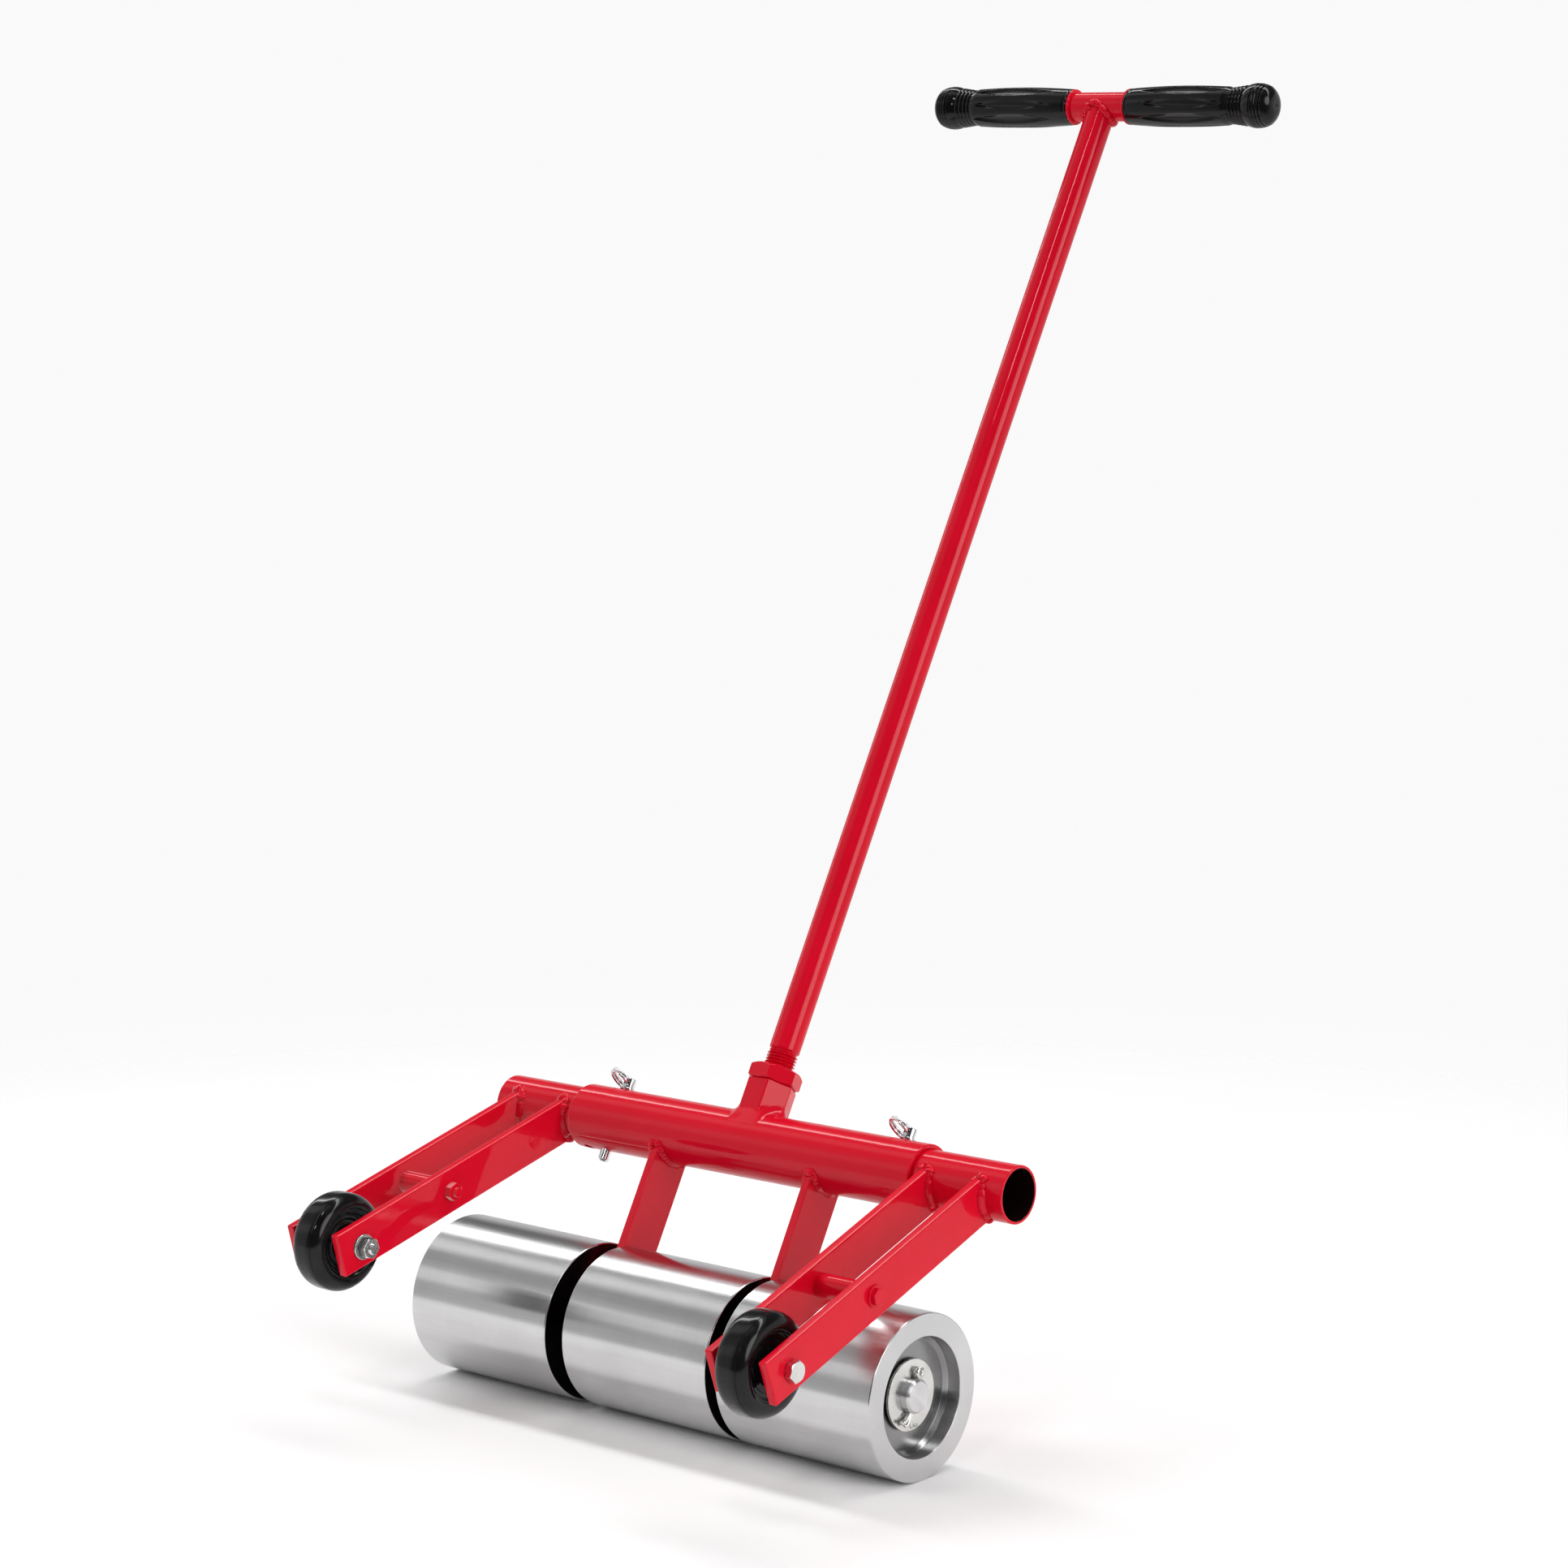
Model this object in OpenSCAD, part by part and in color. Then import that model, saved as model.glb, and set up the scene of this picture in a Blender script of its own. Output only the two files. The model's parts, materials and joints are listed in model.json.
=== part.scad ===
// Three-section weighted floor roller with a T-handle and two transport-wheel arms.
// Origin: on the floor, straight below the middle of the frame on the roller axle.
// +X runs along the axle, -Y towards the transport wheels, +Z up. Millimetres.

/* [Rollers] */
// Outer diameter of each steel roller section
roller_d = 108; // [100:1:120]
// Length of each roller section
roller_len = 127; // [120:1:127]
// Diameter of the turned recess in the outer roller ends
recess_d = 78; // [70:1:84]
// Depth of the straight wall of that recess
recess_depth = 9.8; // [8:0.1:10.5]
// Shift of the middle section from the middle of the frame
middle_shift = 0.7; // [-1:0.1:1]
// Inboard end of the right-hand section
right_inner_x = 73; // [73:0.1:73.4]
// Inboard end of the left-hand section, which floats further out
left_inner_x = 78.8; // [74:0.1:80]
// Diameter of the axle
axle_d = 22.2; // [18:0.1:23]
// Outer diameter of the pressed-in roller bushings
bushing_d = 28.6; // [26:0.1:32]
// Length of one roller bushing
bushing_len = 30; // [20:1:40]

/* [Frame] */
// Lean of the handle from upright, in degrees
lean = 29.05; // [25:0.05:33]
// Distance from the axle up to the middle of the centre tube
tube_at = 139.4; // [132:0.1:145]
// Outer diameter of the centre tube
tube_d = 44.45; // [43:0.05:46]
// Length of the centre tube
tube_len = 302; // [298:1:306]
// Distance of each upright from the middle
upright_x = 68.25; // [68:0.05:68.5]
// Thickness of the upright bars
upright_t = 6; // [5:0.5:6]
// Width of the upright bars
upright_w = 34; // [30:1:38]
// Distance of each release pin from the middle
pin_x = 125; // [120:1:128]
// Spacing from the release pin to the spare hole outboard of it
spare_hole_gap = 16; // [14:1:18]

/* [Handle] */
// Outer diameter of the handle pipe and the cross bar
pipe_d = 21.3; // [20:0.1:22]
// Distance from the axle to the middle of the cross bar
handle_top = 953.7; // [700:1:1100]
// Turn of the cross bar about the handle, in degrees
bar_turn = 3.95; // [0:0.05:6]
// Width across flats of the threaded socket
socket_flats = 31; // [30:0.5:33]
// Width across flats of the jam nut
jam_flats = 32.5; // [31:0.5:34]
// Inboard end of each hand grip from the handle's middle
grip_inner = 24.5; // [22:0.5:30]
// Length of one hand grip
grip_len = 120.5; // [110:0.5:125]
// Largest diameter of a hand grip, at its outer bulb
grip_bulb_d = 32; // [30:0.5:34]

/* [Wheel arms] */
// Outer diameter of the arm tubes
arm_tube_d = 38.1; // [36:0.05:38.1]
// Inboard end of each arm tube
arm_tube_start = 100; // [90:1:108]
// Outboard end of each arm tube
arm_tube_end = 224; // [220:1:230]
// Middle of the fork made by the two flat bars
fork_x = 183.5; // [183:0.5:185]
// Clear gap between the two flat bars
fork_gap = 36.5; // [36:0.5:38]
// Thickness of the flat bars
bar_t = 6.3; // [5:0.1:6.3]
// Height of the flat bars
bar_h = 30; // [28:1:32]
// Distance from the arm tube's middle to the wheel's middle
wheel_reach = 217.5; // [205:0.5:225]
// Distance from the arm tube's middle to the spacer
spacer_reach = 133; // [120:1:145]
// Dip of the left arm below level, in degrees
left_dip = 14.8; // [14.8:0.1:16]
// Dip of the right arm below level, in degrees
right_dip = 19.6; // [18:0.1:19.6]
// Turning play of each arm tube round its release pin, in degrees
arm_play = 4.8; // [4:0.1:4.8]
// Diameter of the transport wheels
wheel_d = 66; // [60:1:70]
// Width of the transport wheels over the tyre
wheel_w = 25; // [22:1:26]
// Diameter of the release pins
pin_d = 8; // [7:0.5:8]

/* [Hidden] */
$fn = 64;

PAINT = [0.85, 0.10, 0.15];
STEEL = [0.75, 0.76, 0.78];
BRONZE = [0.72, 0.52, 0.25];
ZINC = [0.80, 0.80, 0.78];
CHROME = [0.88, 0.89, 0.90];
BLACK = [0.06, 0.06, 0.06];

axle_z = roller_d / 2;
axle_r = axle_d / 2;
// Clearance of turning fits, and of pieces that are only slid together
run = 0.06;
slip = 0.02;
edge = 1;
through = 200;

// Roller ends and what holds them on the axle
recess_cone = 2.6;
recess_floor = recess_depth + recess_cone;
flange_t = 1.4;
flange_d = 38;
end_washer_t = 2;
end_washer_d = 46.6;
thrust_washer_t = 1.5;
thrust_washer_d = 44;
end_play = 0.2;
cotter_d = 3;
cotter_tilt = 20;
cotter_from_washer = 2.4;
axle_past_washer = 6;
right_washer_x = right_inner_x + roller_len - recess_floor + flange_t + end_play;
left_washer_x = left_inner_x + roller_len - recess_floor + flange_t + end_play;
axle_right_x = right_washer_x + end_washer_t + axle_past_washer;
axle_left_x = left_washer_x + end_washer_t + axle_past_washer;

// Centre tube and the threaded socket on it
tube_r = tube_d / 2;
arm_tube_r = arm_tube_d / 2;
arm_tube_wall = 2.1;
socket_top = 183.3;
jam_t = 11;
thread_top = 207.5;
thread_core_r = pipe_d / 2 - 0.9;
pipe_bore_r = 7.9;
cope_gap = 0.1;

// Cross bar
bar_end_x = 138;
stop_ring_t = 2;
stop_ring_d = 26.4;

// Arms
bar_lift = 1.5;
bar_end_past_wheel = 19.5;
bar_x = fork_gap / 2 + bar_t / 2;
wheel_bolt_d = 7.9;
wheel_bushing_d = 14;
wheel_hub_w = 30;
wheel_washer_t = 2;
wheel_washer_d = 20;
spacer_d = 15;
spacer_bolt_d = 6.4;

// Release pins and their rings
pin_r = pin_d / 2;
pin_head_t = 1.5;
pin_head_d = 11;
pin_neck_h = 7;
pin_past_tube = 8.5;
ring_r = 8.8;
ring_wire_r = 1.1;
ring_coil_shift = 1;
ring_hole_r = 2.4;
ring_rise = 15;
ring_bow = 0.48;
ring_hole_up = 3.4;

// Points on an arc, for turned outlines
function arc(cx, cy, r, from, to, steps) =
    [for (i = [0 : steps]) let (a = from + (to - from) * i / steps) [cx + r * cos(a), cy + r * sin(a)]];

// Turns a shape made along +Z so that it runs along +X
module along_x(x = 0) { translate([x, 0, 0]) rotate([0, 90, 0]) children(); }
module at_axle() { translate([0, 0, axle_z]) children(); }
// Frame of the handle: z runs up the handle from the axle
module on_handle(t = 0) { at_axle() rotate([-lean, 0, 0]) translate([0, 0, t]) children(); }
// Frame of an arm: -y runs from the arm tube to the wheel
module on_arm(dip) { on_handle(tube_at) rotate([lean + dip, 0, 0]) children(); }
module left_side() { mirror([1, 0, 0]) children(); }
// Frame of the cross bar: x runs along the bar
module on_bar() { on_handle(handle_top) rotate([0, 0, bar_turn]) children(); }
module ring(outer_r, inner_r, t) {
    difference() {
        cylinder(h = t, r = outer_r);
        translate([0, 0, -1]) cylinder(h = t + 2, r = inner_r);
    }
}
module hex_prism(flats, h) { cylinder(h = h, d = flats / cos(30), $fn = 6); }

// ---- Rollers ----------------------------------------------------------

// One turned section; dished sections have the recess at their far end
module roller_section(dished) {
    r = roller_d / 2;
    bore = bushing_d / 2;
    lip = recess_d / 2;
    plain_end = [[bore, roller_len], [r - edge, roller_len]];
    dished_end = [
        [bore, roller_len - recess_floor], [lip - recess_cone, roller_len - recess_floor],
        [lip, roller_len - recess_depth], [lip, roller_len - 0.6], [lip + 0.6, roller_len],
        [r - edge, roller_len]
    ];
    outline = concat(
        [[bore, 0], [r - edge, 0], [r, edge], [r, roller_len - edge]],
        [for (p = dished ? dished_end : plain_end) p]
    );
    order = concat(
        [for (i = [0 : 3]) outline[i]],
        [for (i = [len(outline) - 1 : -1 : 4]) outline[i]]
    );
    rotate_extrude($fn = 128) polygon(order);
}
module bushing(flanged) {
    difference() {
        union() {
            cylinder(h = bushing_len, r = bushing_d / 2 - slip);
            if (flanged) translate([0, 0, -flange_t]) cylinder(h = flange_t, d = flange_d);
        }
        translate([0, 0, -through / 2]) cylinder(h = through, r = axle_r + run);
    }
}
module outer_roller(inner_x) { at_axle() along_x(inner_x) roller_section(true); }
module outer_bushings(inner_x) {
    at_axle() {
        along_x(inner_x) bushing(false);
        translate([inner_x + roller_len - recess_floor, 0, 0]) rotate([0, -90, 0]) bushing(true);
    }
}
module roller_left() { color(STEEL) left_side() outer_roller(left_inner_x); }
module roller_right() { color(STEEL) outer_roller(right_inner_x); }
module roller_middle() {
    color(STEEL) at_axle() along_x(middle_shift - roller_len / 2) roller_section(false);
}
module roller_left_bushings() { color(BRONZE) left_side() outer_bushings(left_inner_x); }
module roller_right_bushings() { color(BRONZE) outer_bushings(right_inner_x); }
module roller_middle_bushings() {
    color(BRONZE) at_axle() for (end = [0, 1])
        translate([middle_shift, 0, 0]) mirror([end, 0, 0])
            along_x(roller_len / 2 - bushing_len) bushing(false);
}

// ---- Axle and what is on it -------------------------------------------

module cotter_hole(x) {
    translate([x, 0, 0]) rotate([-cotter_tilt, 0, 0])
        cylinder(h = 4 * axle_r, r = cotter_d / 2 + run, center = true);
}
module axle() {
    color(STEEL) at_axle() difference() {
        translate([-axle_left_x, 0, 0]) along_x() {
            length = axle_left_x + axle_right_x;
            translate([0, 0, edge]) cylinder(h = length - 2 * edge, r = axle_r);
            cylinder(h = edge, r1 = axle_r - edge, r2 = axle_r);
            translate([0, 0, length - edge]) cylinder(h = edge, r1 = axle_r, r2 = axle_r - edge);
        }
        cotter_hole(right_washer_x + end_washer_t + cotter_from_washer);
        cotter_hole(-(left_washer_x + end_washer_t + cotter_from_washer));
    }
}
module thrust_washers() {
    x = upright_x + upright_t / 2 + slip;
    color(ZINC) at_axle() for (side = [0, 1])
        mirror([side, 0, 0]) along_x(x) ring(thrust_washer_d / 2, axle_r + run, thrust_washer_t);
}
module axle_end_washers() {
    color(ZINC) at_axle() {
        along_x(right_washer_x) ring(end_washer_d / 2, axle_r + run, end_washer_t);
        left_side() along_x(left_washer_x) ring(end_washer_d / 2, axle_r + run, end_washer_t);
    }
}
// Split pin: an eye above the axle, a shank through it and two spread legs below
module cotter_pin() {
    shank = axle_r + 2.5;
    eye_r = 2.5;
    leg_len = 8;
    rotate([-cotter_tilt, 0, 0]) {
        translate([0, 0, -shank]) cylinder(h = 2 * shank, d = cotter_d);
        translate([0, 0, shank + eye_r]) rotate([0, 90, 0])
            rotate_extrude() translate([eye_r, 0]) circle(d = 1.6);
        for (spread = [-32, 32])
            translate([0, 0, 0.4 - shank]) rotate([180 + spread, 0, 0]) cylinder(h = leg_len, d = 1.9);
    }
}
module cotter_pins() {
    from_washer = end_washer_t + cotter_from_washer;
    color(ZINC) at_axle() {
        translate([right_washer_x + from_washer, 0, 0]) cotter_pin();
        translate([-left_washer_x - from_washer, 0, 0]) cotter_pin();
    }
}

// ---- Welded frame -----------------------------------------------------

module tube_cut(r) { on_handle(tube_at) rotate([0, 90, 0]) cylinder(h = 3 * tube_len, r = r, center = true); }
module upright(x) {
    foot_r = upright_w / 2;
    difference() {
        on_handle() translate([x - upright_t / 2, 0, 0]) rotate([90, 0, 90])
            linear_extrude(upright_t) difference() {
                union() {
                    circle(r = foot_r);
                    translate([-foot_r, 0]) square([upright_w, tube_at - tube_r * 0.4]);
                }
                circle(r = axle_r + slip);
            }
        tube_cut(tube_r + cope_gap);
    }
}
module upright_left() { color(PAINT) upright(-upright_x); }
module upright_right() { color(PAINT) upright(upright_x); }
module centre_tube() {
    color(PAINT) on_handle(tube_at) difference() {
        along_x(-tube_len / 2) cylinder(h = tube_len, r = tube_r);
        along_x(-tube_len / 2 - 1) cylinder(h = tube_len + 2, r = arm_tube_r + 0.08);
        for (side = [-1, 1])
            for (x = [pin_x, pin_x + spare_hole_gap])
                translate([side * x, 0, 0]) cylinder(h = 3 * tube_r, r = pin_r + run, center = true);
    }
}
module handle_socket() {
    bottom = tube_at + tube_r * 0.6;
    color(PAINT) difference() {
        on_handle(bottom) rotate([0, 0, -4]) hex_prism(socket_flats, socket_top - bottom);
        tube_cut(tube_r + cope_gap);
        on_handle() cylinder(h = 2 * tube_at, r = thread_core_r + run);
    }
}
module jam_nut() {
    color(PAINT) on_handle(socket_top + slip) rotate([0, 0, -9]) difference() {
        intersection() {
            hex_prism(jam_flats, jam_t);
            union() {
                cylinder(h = jam_t - 3, r = jam_flats * 0.59);
                translate([0, 0, jam_t - 3]) cylinder(h = 3, r1 = jam_flats * 0.59, r2 = jam_flats * 0.49);
            }
        }
        translate([0, 0, -1]) cylinder(h = jam_t + 2, r = thread_core_r + run);
    }
}

// ---- Handle -----------------------------------------------------------

module bar_cut() { on_bar() rotate([0, 90, 0]) cylinder(h = 100, r = pipe_d / 2 + cope_gap, center = true); }
module handle_pipe() {
    foot = tube_at + tube_r + 1.5;
    color(PAINT) difference() {
        union() {
            on_handle(foot) cylinder(h = thread_top - foot, r = thread_core_r);
            on_handle(thread_top) cylinder(h = handle_top - thread_top, d = pipe_d);
        }
        on_handle(foot - 1) cylinder(h = handle_top - foot + 2, r = pipe_bore_r);
        bar_cut();
    }
}
module cross_bar() {
    color(PAINT) on_bar() difference() {
        along_x(-bar_end_x) cylinder(h = 2 * bar_end_x, d = pipe_d);
        along_x(-bar_end_x - 1) cylinder(h = 2 * bar_end_x + 2, r = pipe_bore_r);
    }
}
module grip_stop_rings() {
    color(PAINT) on_bar() for (side = [0, 1])
        mirror([side, 0, 0]) along_x(grip_inner - stop_ring_t)
            ring(stop_ring_d / 2, pipe_d / 2 + slip, stop_ring_t - slip);
}
// Moulded sleeve: swelling barrel, narrow neck and a domed end bulb
module grip() {
    bulb = grip_bulb_d / 2;
    dome_r = 12;
    dome_x = grip_len - dome_r;
    bore_r = pipe_d / 2 + slip;
    outline = concat(
        [[bore_r, 0], [13.1, 0], [13.4, 1.5], [14.2, 16], [15, 40], [14.9, 56], [14.2, 78]],
        [[13.4, 92], [13.3, 97], [14.6, 100.5]],
        arc(bulb - dome_r, dome_x, dome_r, 0, 90, 6),
        [[0, grip_len], [0, bar_end_x - grip_inner + 0.1], [bore_r, bar_end_x - grip_inner + 0.1]]
    );
    rotate_extrude() polygon(outline);
}
module grip_right() { color(BLACK) on_bar() along_x(grip_inner) grip(); }
module grip_left() { color(BLACK) on_bar() left_side() along_x(grip_inner) grip(); }

// ---- Transport-wheel arms, made on the right and mirrored for the left ----

// turned is how far the arm stands from the middle of its play; its pin holes are wide enough for that play
module arm_tube(turned) {
    color(PAINT) difference() {
        on_handle(tube_at) along_x(arm_tube_start) difference() {
            cylinder(h = arm_tube_end - arm_tube_start, r = arm_tube_r);
            translate([0, 0, -1]) cylinder(h = through, r = arm_tube_r - arm_tube_wall);
        }
        for (x = [pin_x, pin_x + spare_hole_gap])
            on_handle(tube_at) rotate([turned, 0, 0]) translate([x, 0, 0])
                cylinder(h = 3 * tube_r, r = pin_r + run + arm_tube_r * sin(arm_play / 2) + 0.04, center = true);
    }
}
module arm_bar(dip, side) {
    difference() {
        on_arm(dip) difference() {
            translate([fork_x + side * bar_x - bar_t / 2, -wheel_reach - bar_end_past_wheel, bar_lift - bar_h / 2])
                cube([bar_t, wheel_reach + bar_end_past_wheel - 6, bar_h]);
            translate([0, -wheel_reach, 0]) along_x(fork_x - 60) cylinder(h = 120, r = wheel_bolt_d / 2 + slip);
            translate([0, -spacer_reach, bar_lift]) along_x(fork_x - 60)
                cylinder(h = 120, r = spacer_bolt_d / 2 + slip);
        }
        tube_cut(arm_tube_r + cope_gap);
    }
}
module at_spacer(dip) { on_arm(dip) translate([fork_x, -spacer_reach, bar_lift]) children(); }
module at_wheel(dip) { on_arm(dip) translate([fork_x, -wheel_reach, 0]) children(); }
module spacer_tube(dip) {
    color(PAINT) at_spacer(dip) along_x(slip - fork_gap / 2)
        ring(spacer_d / 2, spacer_bolt_d / 2 + run, fork_gap - 2 * slip);
}
module spacer_bolt(dip) {
    face = fork_gap / 2 + bar_t;
    color(PAINT) at_spacer(dip) {
        along_x(-face - 8) cylinder(h = 2 * face + 8, d = spacer_bolt_d);
        along_x(face) cylinder(h = 1.6, d = 14.5);
        along_x(face) hex_prism(10.5, 4.6);
    }
}
module spacer_nut(dip) {
    face = fork_gap / 2 + bar_t;
    color(PAINT) at_spacer(dip) along_x(-face - 5.2) difference() {
        hex_prism(11, 5.2);
        translate([0, 0, -1]) cylinder(h = 8, r = spacer_bolt_d / 2 + slip);
    }
}
module wheel(dip) {
    half_w = wheel_w / 2;
    half_hub = wheel_hub_w / 2;
    tread_r = wheel_d / 2;
    shoulder = 9;
    bore_r = wheel_bushing_d / 2 + slip;
    outer_half = concat(
        [[bore_r, half_hub], [11, half_hub], [12, half_hub - 1], [13, 8], [19.5, 7.5], [21, 11.3], [22.5, half_w]],
        arc(tread_r - shoulder, half_w - shoulder, shoulder, 90, 0, 8)
    );
    outline = concat(outer_half, [for (i = [len(outer_half) - 1 : -1 : 0]) [outer_half[i][0], -outer_half[i][1]]]);
    color(BLACK) at_wheel(dip) along_x() rotate_extrude($fn = 96) polygon(outline);
}
module wheel_bushing(dip) {
    half = wheel_hub_w / 2 + 0.6;
    color(CHROME) at_wheel(dip) along_x(-half) ring(wheel_bushing_d / 2, wheel_bolt_d / 2 + run, 2 * half);
}
module wheel_washers(dip) {
    color(ZINC) at_wheel(dip) for (side = [0, 1])
        mirror([side, 0, 0]) along_x(fork_gap / 2 - wheel_washer_t - slip)
            ring(wheel_washer_d / 2, wheel_bolt_d / 2 + run, wheel_washer_t);
}
module wheel_bolt(dip) {
    face = fork_gap / 2 + bar_t;
    color(ZINC) at_wheel(dip) {
        along_x(-face - 12) cylinder(h = 2 * face + 12, d = wheel_bolt_d);
        along_x(face) hex_prism(12.7, 5.3);
    }
}
module wheel_nut(dip) {
    face = fork_gap / 2 + bar_t;
    color(ZINC) at_wheel(dip) {
        along_x(-face - 1.6) ring(8.5, wheel_bolt_d / 2 + slip, 1.6);
        along_x(-face - 8.6) difference() {
            hex_prism(12.7, 7);
            translate([0, 0, -1]) cylinder(h = 9, r = wheel_bolt_d / 2 + slip);
        }
    }
}

// ---- Release pins -----------------------------------------------------

module at_pin() { on_handle(tube_at) translate([pin_x, 0, tube_r + 0.1]) children(); }
module at_ring_hole() { at_pin() translate([0, 0, pin_head_t + ring_hole_up]) children(); }
module release_pin() {
    tip = 2 * tube_r + pin_past_tube;
    color(CHROME) difference() {
        at_pin() {
            translate([0, 0, 1.5 - tip]) cylinder(h = tip, r = pin_r);
            translate([0, 0, -tip]) cylinder(h = 1.5, r1 = pin_r - 1.2, r2 = pin_r);
            cylinder(h = pin_head_t, d = pin_head_d);
            translate([0, 0, pin_head_t]) cylinder(h = pin_neck_h, r = 4.3);
        }
        at_ring_hole() rotate([90, 0, 0]) cylinder(h = 30, r = ring_hole_r, center = true);
    }
}
// Split ring lying over towards the middle (toward = -1) or outboard (toward = 1)
module pull_ring(toward) {
    color(CHROME) at_ring_hole() rotate([0, -toward * ring_rise, 0]) translate([toward * (ring_r - ring_bow), 0, 0])
        for (coil = [-1, 1])
            rotate_extrude() translate([ring_r, coil * ring_coil_shift]) circle(r = ring_wire_r, $fn = 32);
}

// ---- Left and right nodes ---------------------------------------------

module arm_tube_left() { left_side() arm_tube(-arm_play / 2); }
module arm_tube_right() { arm_tube(arm_play / 2); }
module arm_inner_bar_left() { color(PAINT) left_side() arm_bar(left_dip, -1); }
module arm_inner_bar_right() { color(PAINT) arm_bar(right_dip, -1); }
module arm_outer_bar_left() { color(PAINT) left_side() arm_bar(left_dip, 1); }
module arm_outer_bar_right() { color(PAINT) arm_bar(right_dip, 1); }
module spacer_tube_left() { left_side() spacer_tube(left_dip); }
module spacer_tube_right() { spacer_tube(right_dip); }
module spacer_bolt_left() { left_side() spacer_bolt(left_dip); }
module spacer_bolt_right() { spacer_bolt(right_dip); }
module spacer_nut_left() { left_side() spacer_nut(left_dip); }
module spacer_nut_right() { spacer_nut(right_dip); }
module wheel_left() { left_side() wheel(left_dip); }
module wheel_right() { wheel(right_dip); }
module wheel_bushing_left() { left_side() wheel_bushing(left_dip); }
module wheel_bushing_right() { wheel_bushing(right_dip); }
module wheel_washers_left() { left_side() wheel_washers(left_dip); }
module wheel_washers_right() { wheel_washers(right_dip); }
module wheel_bolt_left() { left_side() wheel_bolt(left_dip); }
module wheel_bolt_right() { wheel_bolt(right_dip); }
module wheel_nut_left() { left_side() wheel_nut(left_dip); }
module wheel_nut_right() { wheel_nut(right_dip); }
module release_pin_left() { left_side() release_pin(); }
module release_pin_right() { release_pin(); }
module pull_ring_left() { left_side() pull_ring(1); }
module pull_ring_right() { pull_ring(-1); }

roller_left();
roller_middle();
roller_right();
roller_left_bushings();
roller_middle_bushings();
roller_right_bushings();
axle();
thrust_washers();
axle_end_washers();
cotter_pins();
upright_left();
upright_right();
centre_tube();
handle_socket();
jam_nut();
handle_pipe();
cross_bar();
grip_stop_rings();
grip_left();
grip_right();
arm_tube_left();
arm_tube_right();
arm_inner_bar_left();
arm_inner_bar_right();
arm_outer_bar_left();
arm_outer_bar_right();
spacer_tube_left();
spacer_tube_right();
spacer_bolt_left();
spacer_bolt_right();
spacer_nut_left();
spacer_nut_right();
wheel_left();
wheel_right();
wheel_bushing_left();
wheel_bushing_right();
wheel_washers_left();
wheel_washers_right();
wheel_bolt_left();
wheel_bolt_right();
wheel_nut_left();
wheel_nut_right();
release_pin_left();
release_pin_right();
pull_ring_left();
pull_ring_right();
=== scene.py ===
import json
import math

import bmesh
import bpy
from mathutils import Matrix, Vector, noise


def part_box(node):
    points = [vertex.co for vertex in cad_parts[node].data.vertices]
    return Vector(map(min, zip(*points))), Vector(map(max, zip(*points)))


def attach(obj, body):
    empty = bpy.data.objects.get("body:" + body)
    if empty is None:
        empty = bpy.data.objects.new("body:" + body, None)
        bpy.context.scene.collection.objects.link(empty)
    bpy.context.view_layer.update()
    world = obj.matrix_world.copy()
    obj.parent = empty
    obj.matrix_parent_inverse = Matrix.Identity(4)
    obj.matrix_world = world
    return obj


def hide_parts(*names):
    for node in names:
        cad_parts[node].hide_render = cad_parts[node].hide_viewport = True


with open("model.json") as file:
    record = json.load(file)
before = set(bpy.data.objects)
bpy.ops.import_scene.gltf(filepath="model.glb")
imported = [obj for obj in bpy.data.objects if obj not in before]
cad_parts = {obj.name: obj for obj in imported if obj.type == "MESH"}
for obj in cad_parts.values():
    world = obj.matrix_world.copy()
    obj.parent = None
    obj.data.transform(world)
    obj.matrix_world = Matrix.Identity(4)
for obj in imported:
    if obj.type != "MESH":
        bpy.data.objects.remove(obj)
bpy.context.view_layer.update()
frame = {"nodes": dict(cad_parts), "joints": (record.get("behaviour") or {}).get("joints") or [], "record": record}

# Looks of a three-section floor roller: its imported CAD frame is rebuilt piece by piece
# with rounded edges, welds, threads and flutes. Outlines are in millimetres, places in metres.

MM = 0.001
TAU = 2 * math.pi

# ---- Places taken from the frame ---------------------------------------

JOINTS = {joint["name"]: joint for joint in frame["joints"]}
BODIES = frame["record"]["behaviour"]["bodies"]
BODY_OF = {node: body for body, nodes in BODIES.items() for node in nodes}
SLOT_OF = {
    part["node"]: part["material_slot"] for part in frame["record"]["subparts"]
}

ALONG = Vector((1, 0, 0))
UP = Vector(JOINTS["pin_left_pull"]["axis"])
TUBE = Vector(JOINTS["arm_left_play"]["pos_m"])
AXLE = Vector(JOINTS["roller_left_spin"]["pos_m"])
SIDES = {"left": -1, "right": 1}

TUBE_HALF = 151
TUBE_R = 22.225
TUBE_BORE = 19.13
ARM_TUBE_IN, ARM_TUBE_OUT = 100, 224
ARM_TUBE_R = 19.05
ARM_TUBE_BORE = 16.95
PIN_HOLE_R = 4.06
ARM_PIN_HOLE_R = 4.9
ARM_PLAY = 4.8
BAR_T = 6.3
BAR_H = 30
BAR_LIFT = 1.5
BAR_PAST_WHEEL = 19.5
SPACER_OUT = 133
UPRIGHT_X = 68.25
UPRIGHT_T = 6
UPRIGHT_W = 34
PIPE_R = 10.65
PIPE_BORE = 7.9
CROSS_BAR_HALF = 138
BAR_TURN = math.radians(3.95)
SOCKET_TURN = -4
NUT_TURN = -9
NUT_T = 11
PIN_X = 125
SPARE_HOLE_X = 141


def axes(origin, x, z):
    """A frame at origin whose own unit is the millimetre."""
    x, z = x.normalized(), z.normalized()
    turn = Matrix((x, z.cross(x), z)).transposed().to_4x4()
    return Matrix.Translation(origin) @ turn @ Matrix.Scale(MM, 4)


def middle(node):
    low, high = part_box(node)
    return (low + high) / 2


def span(node):
    """Lowest and highest x of a node, in millimetres."""
    low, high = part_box(node)
    return low[0] / MM, high[0] / MM


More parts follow.
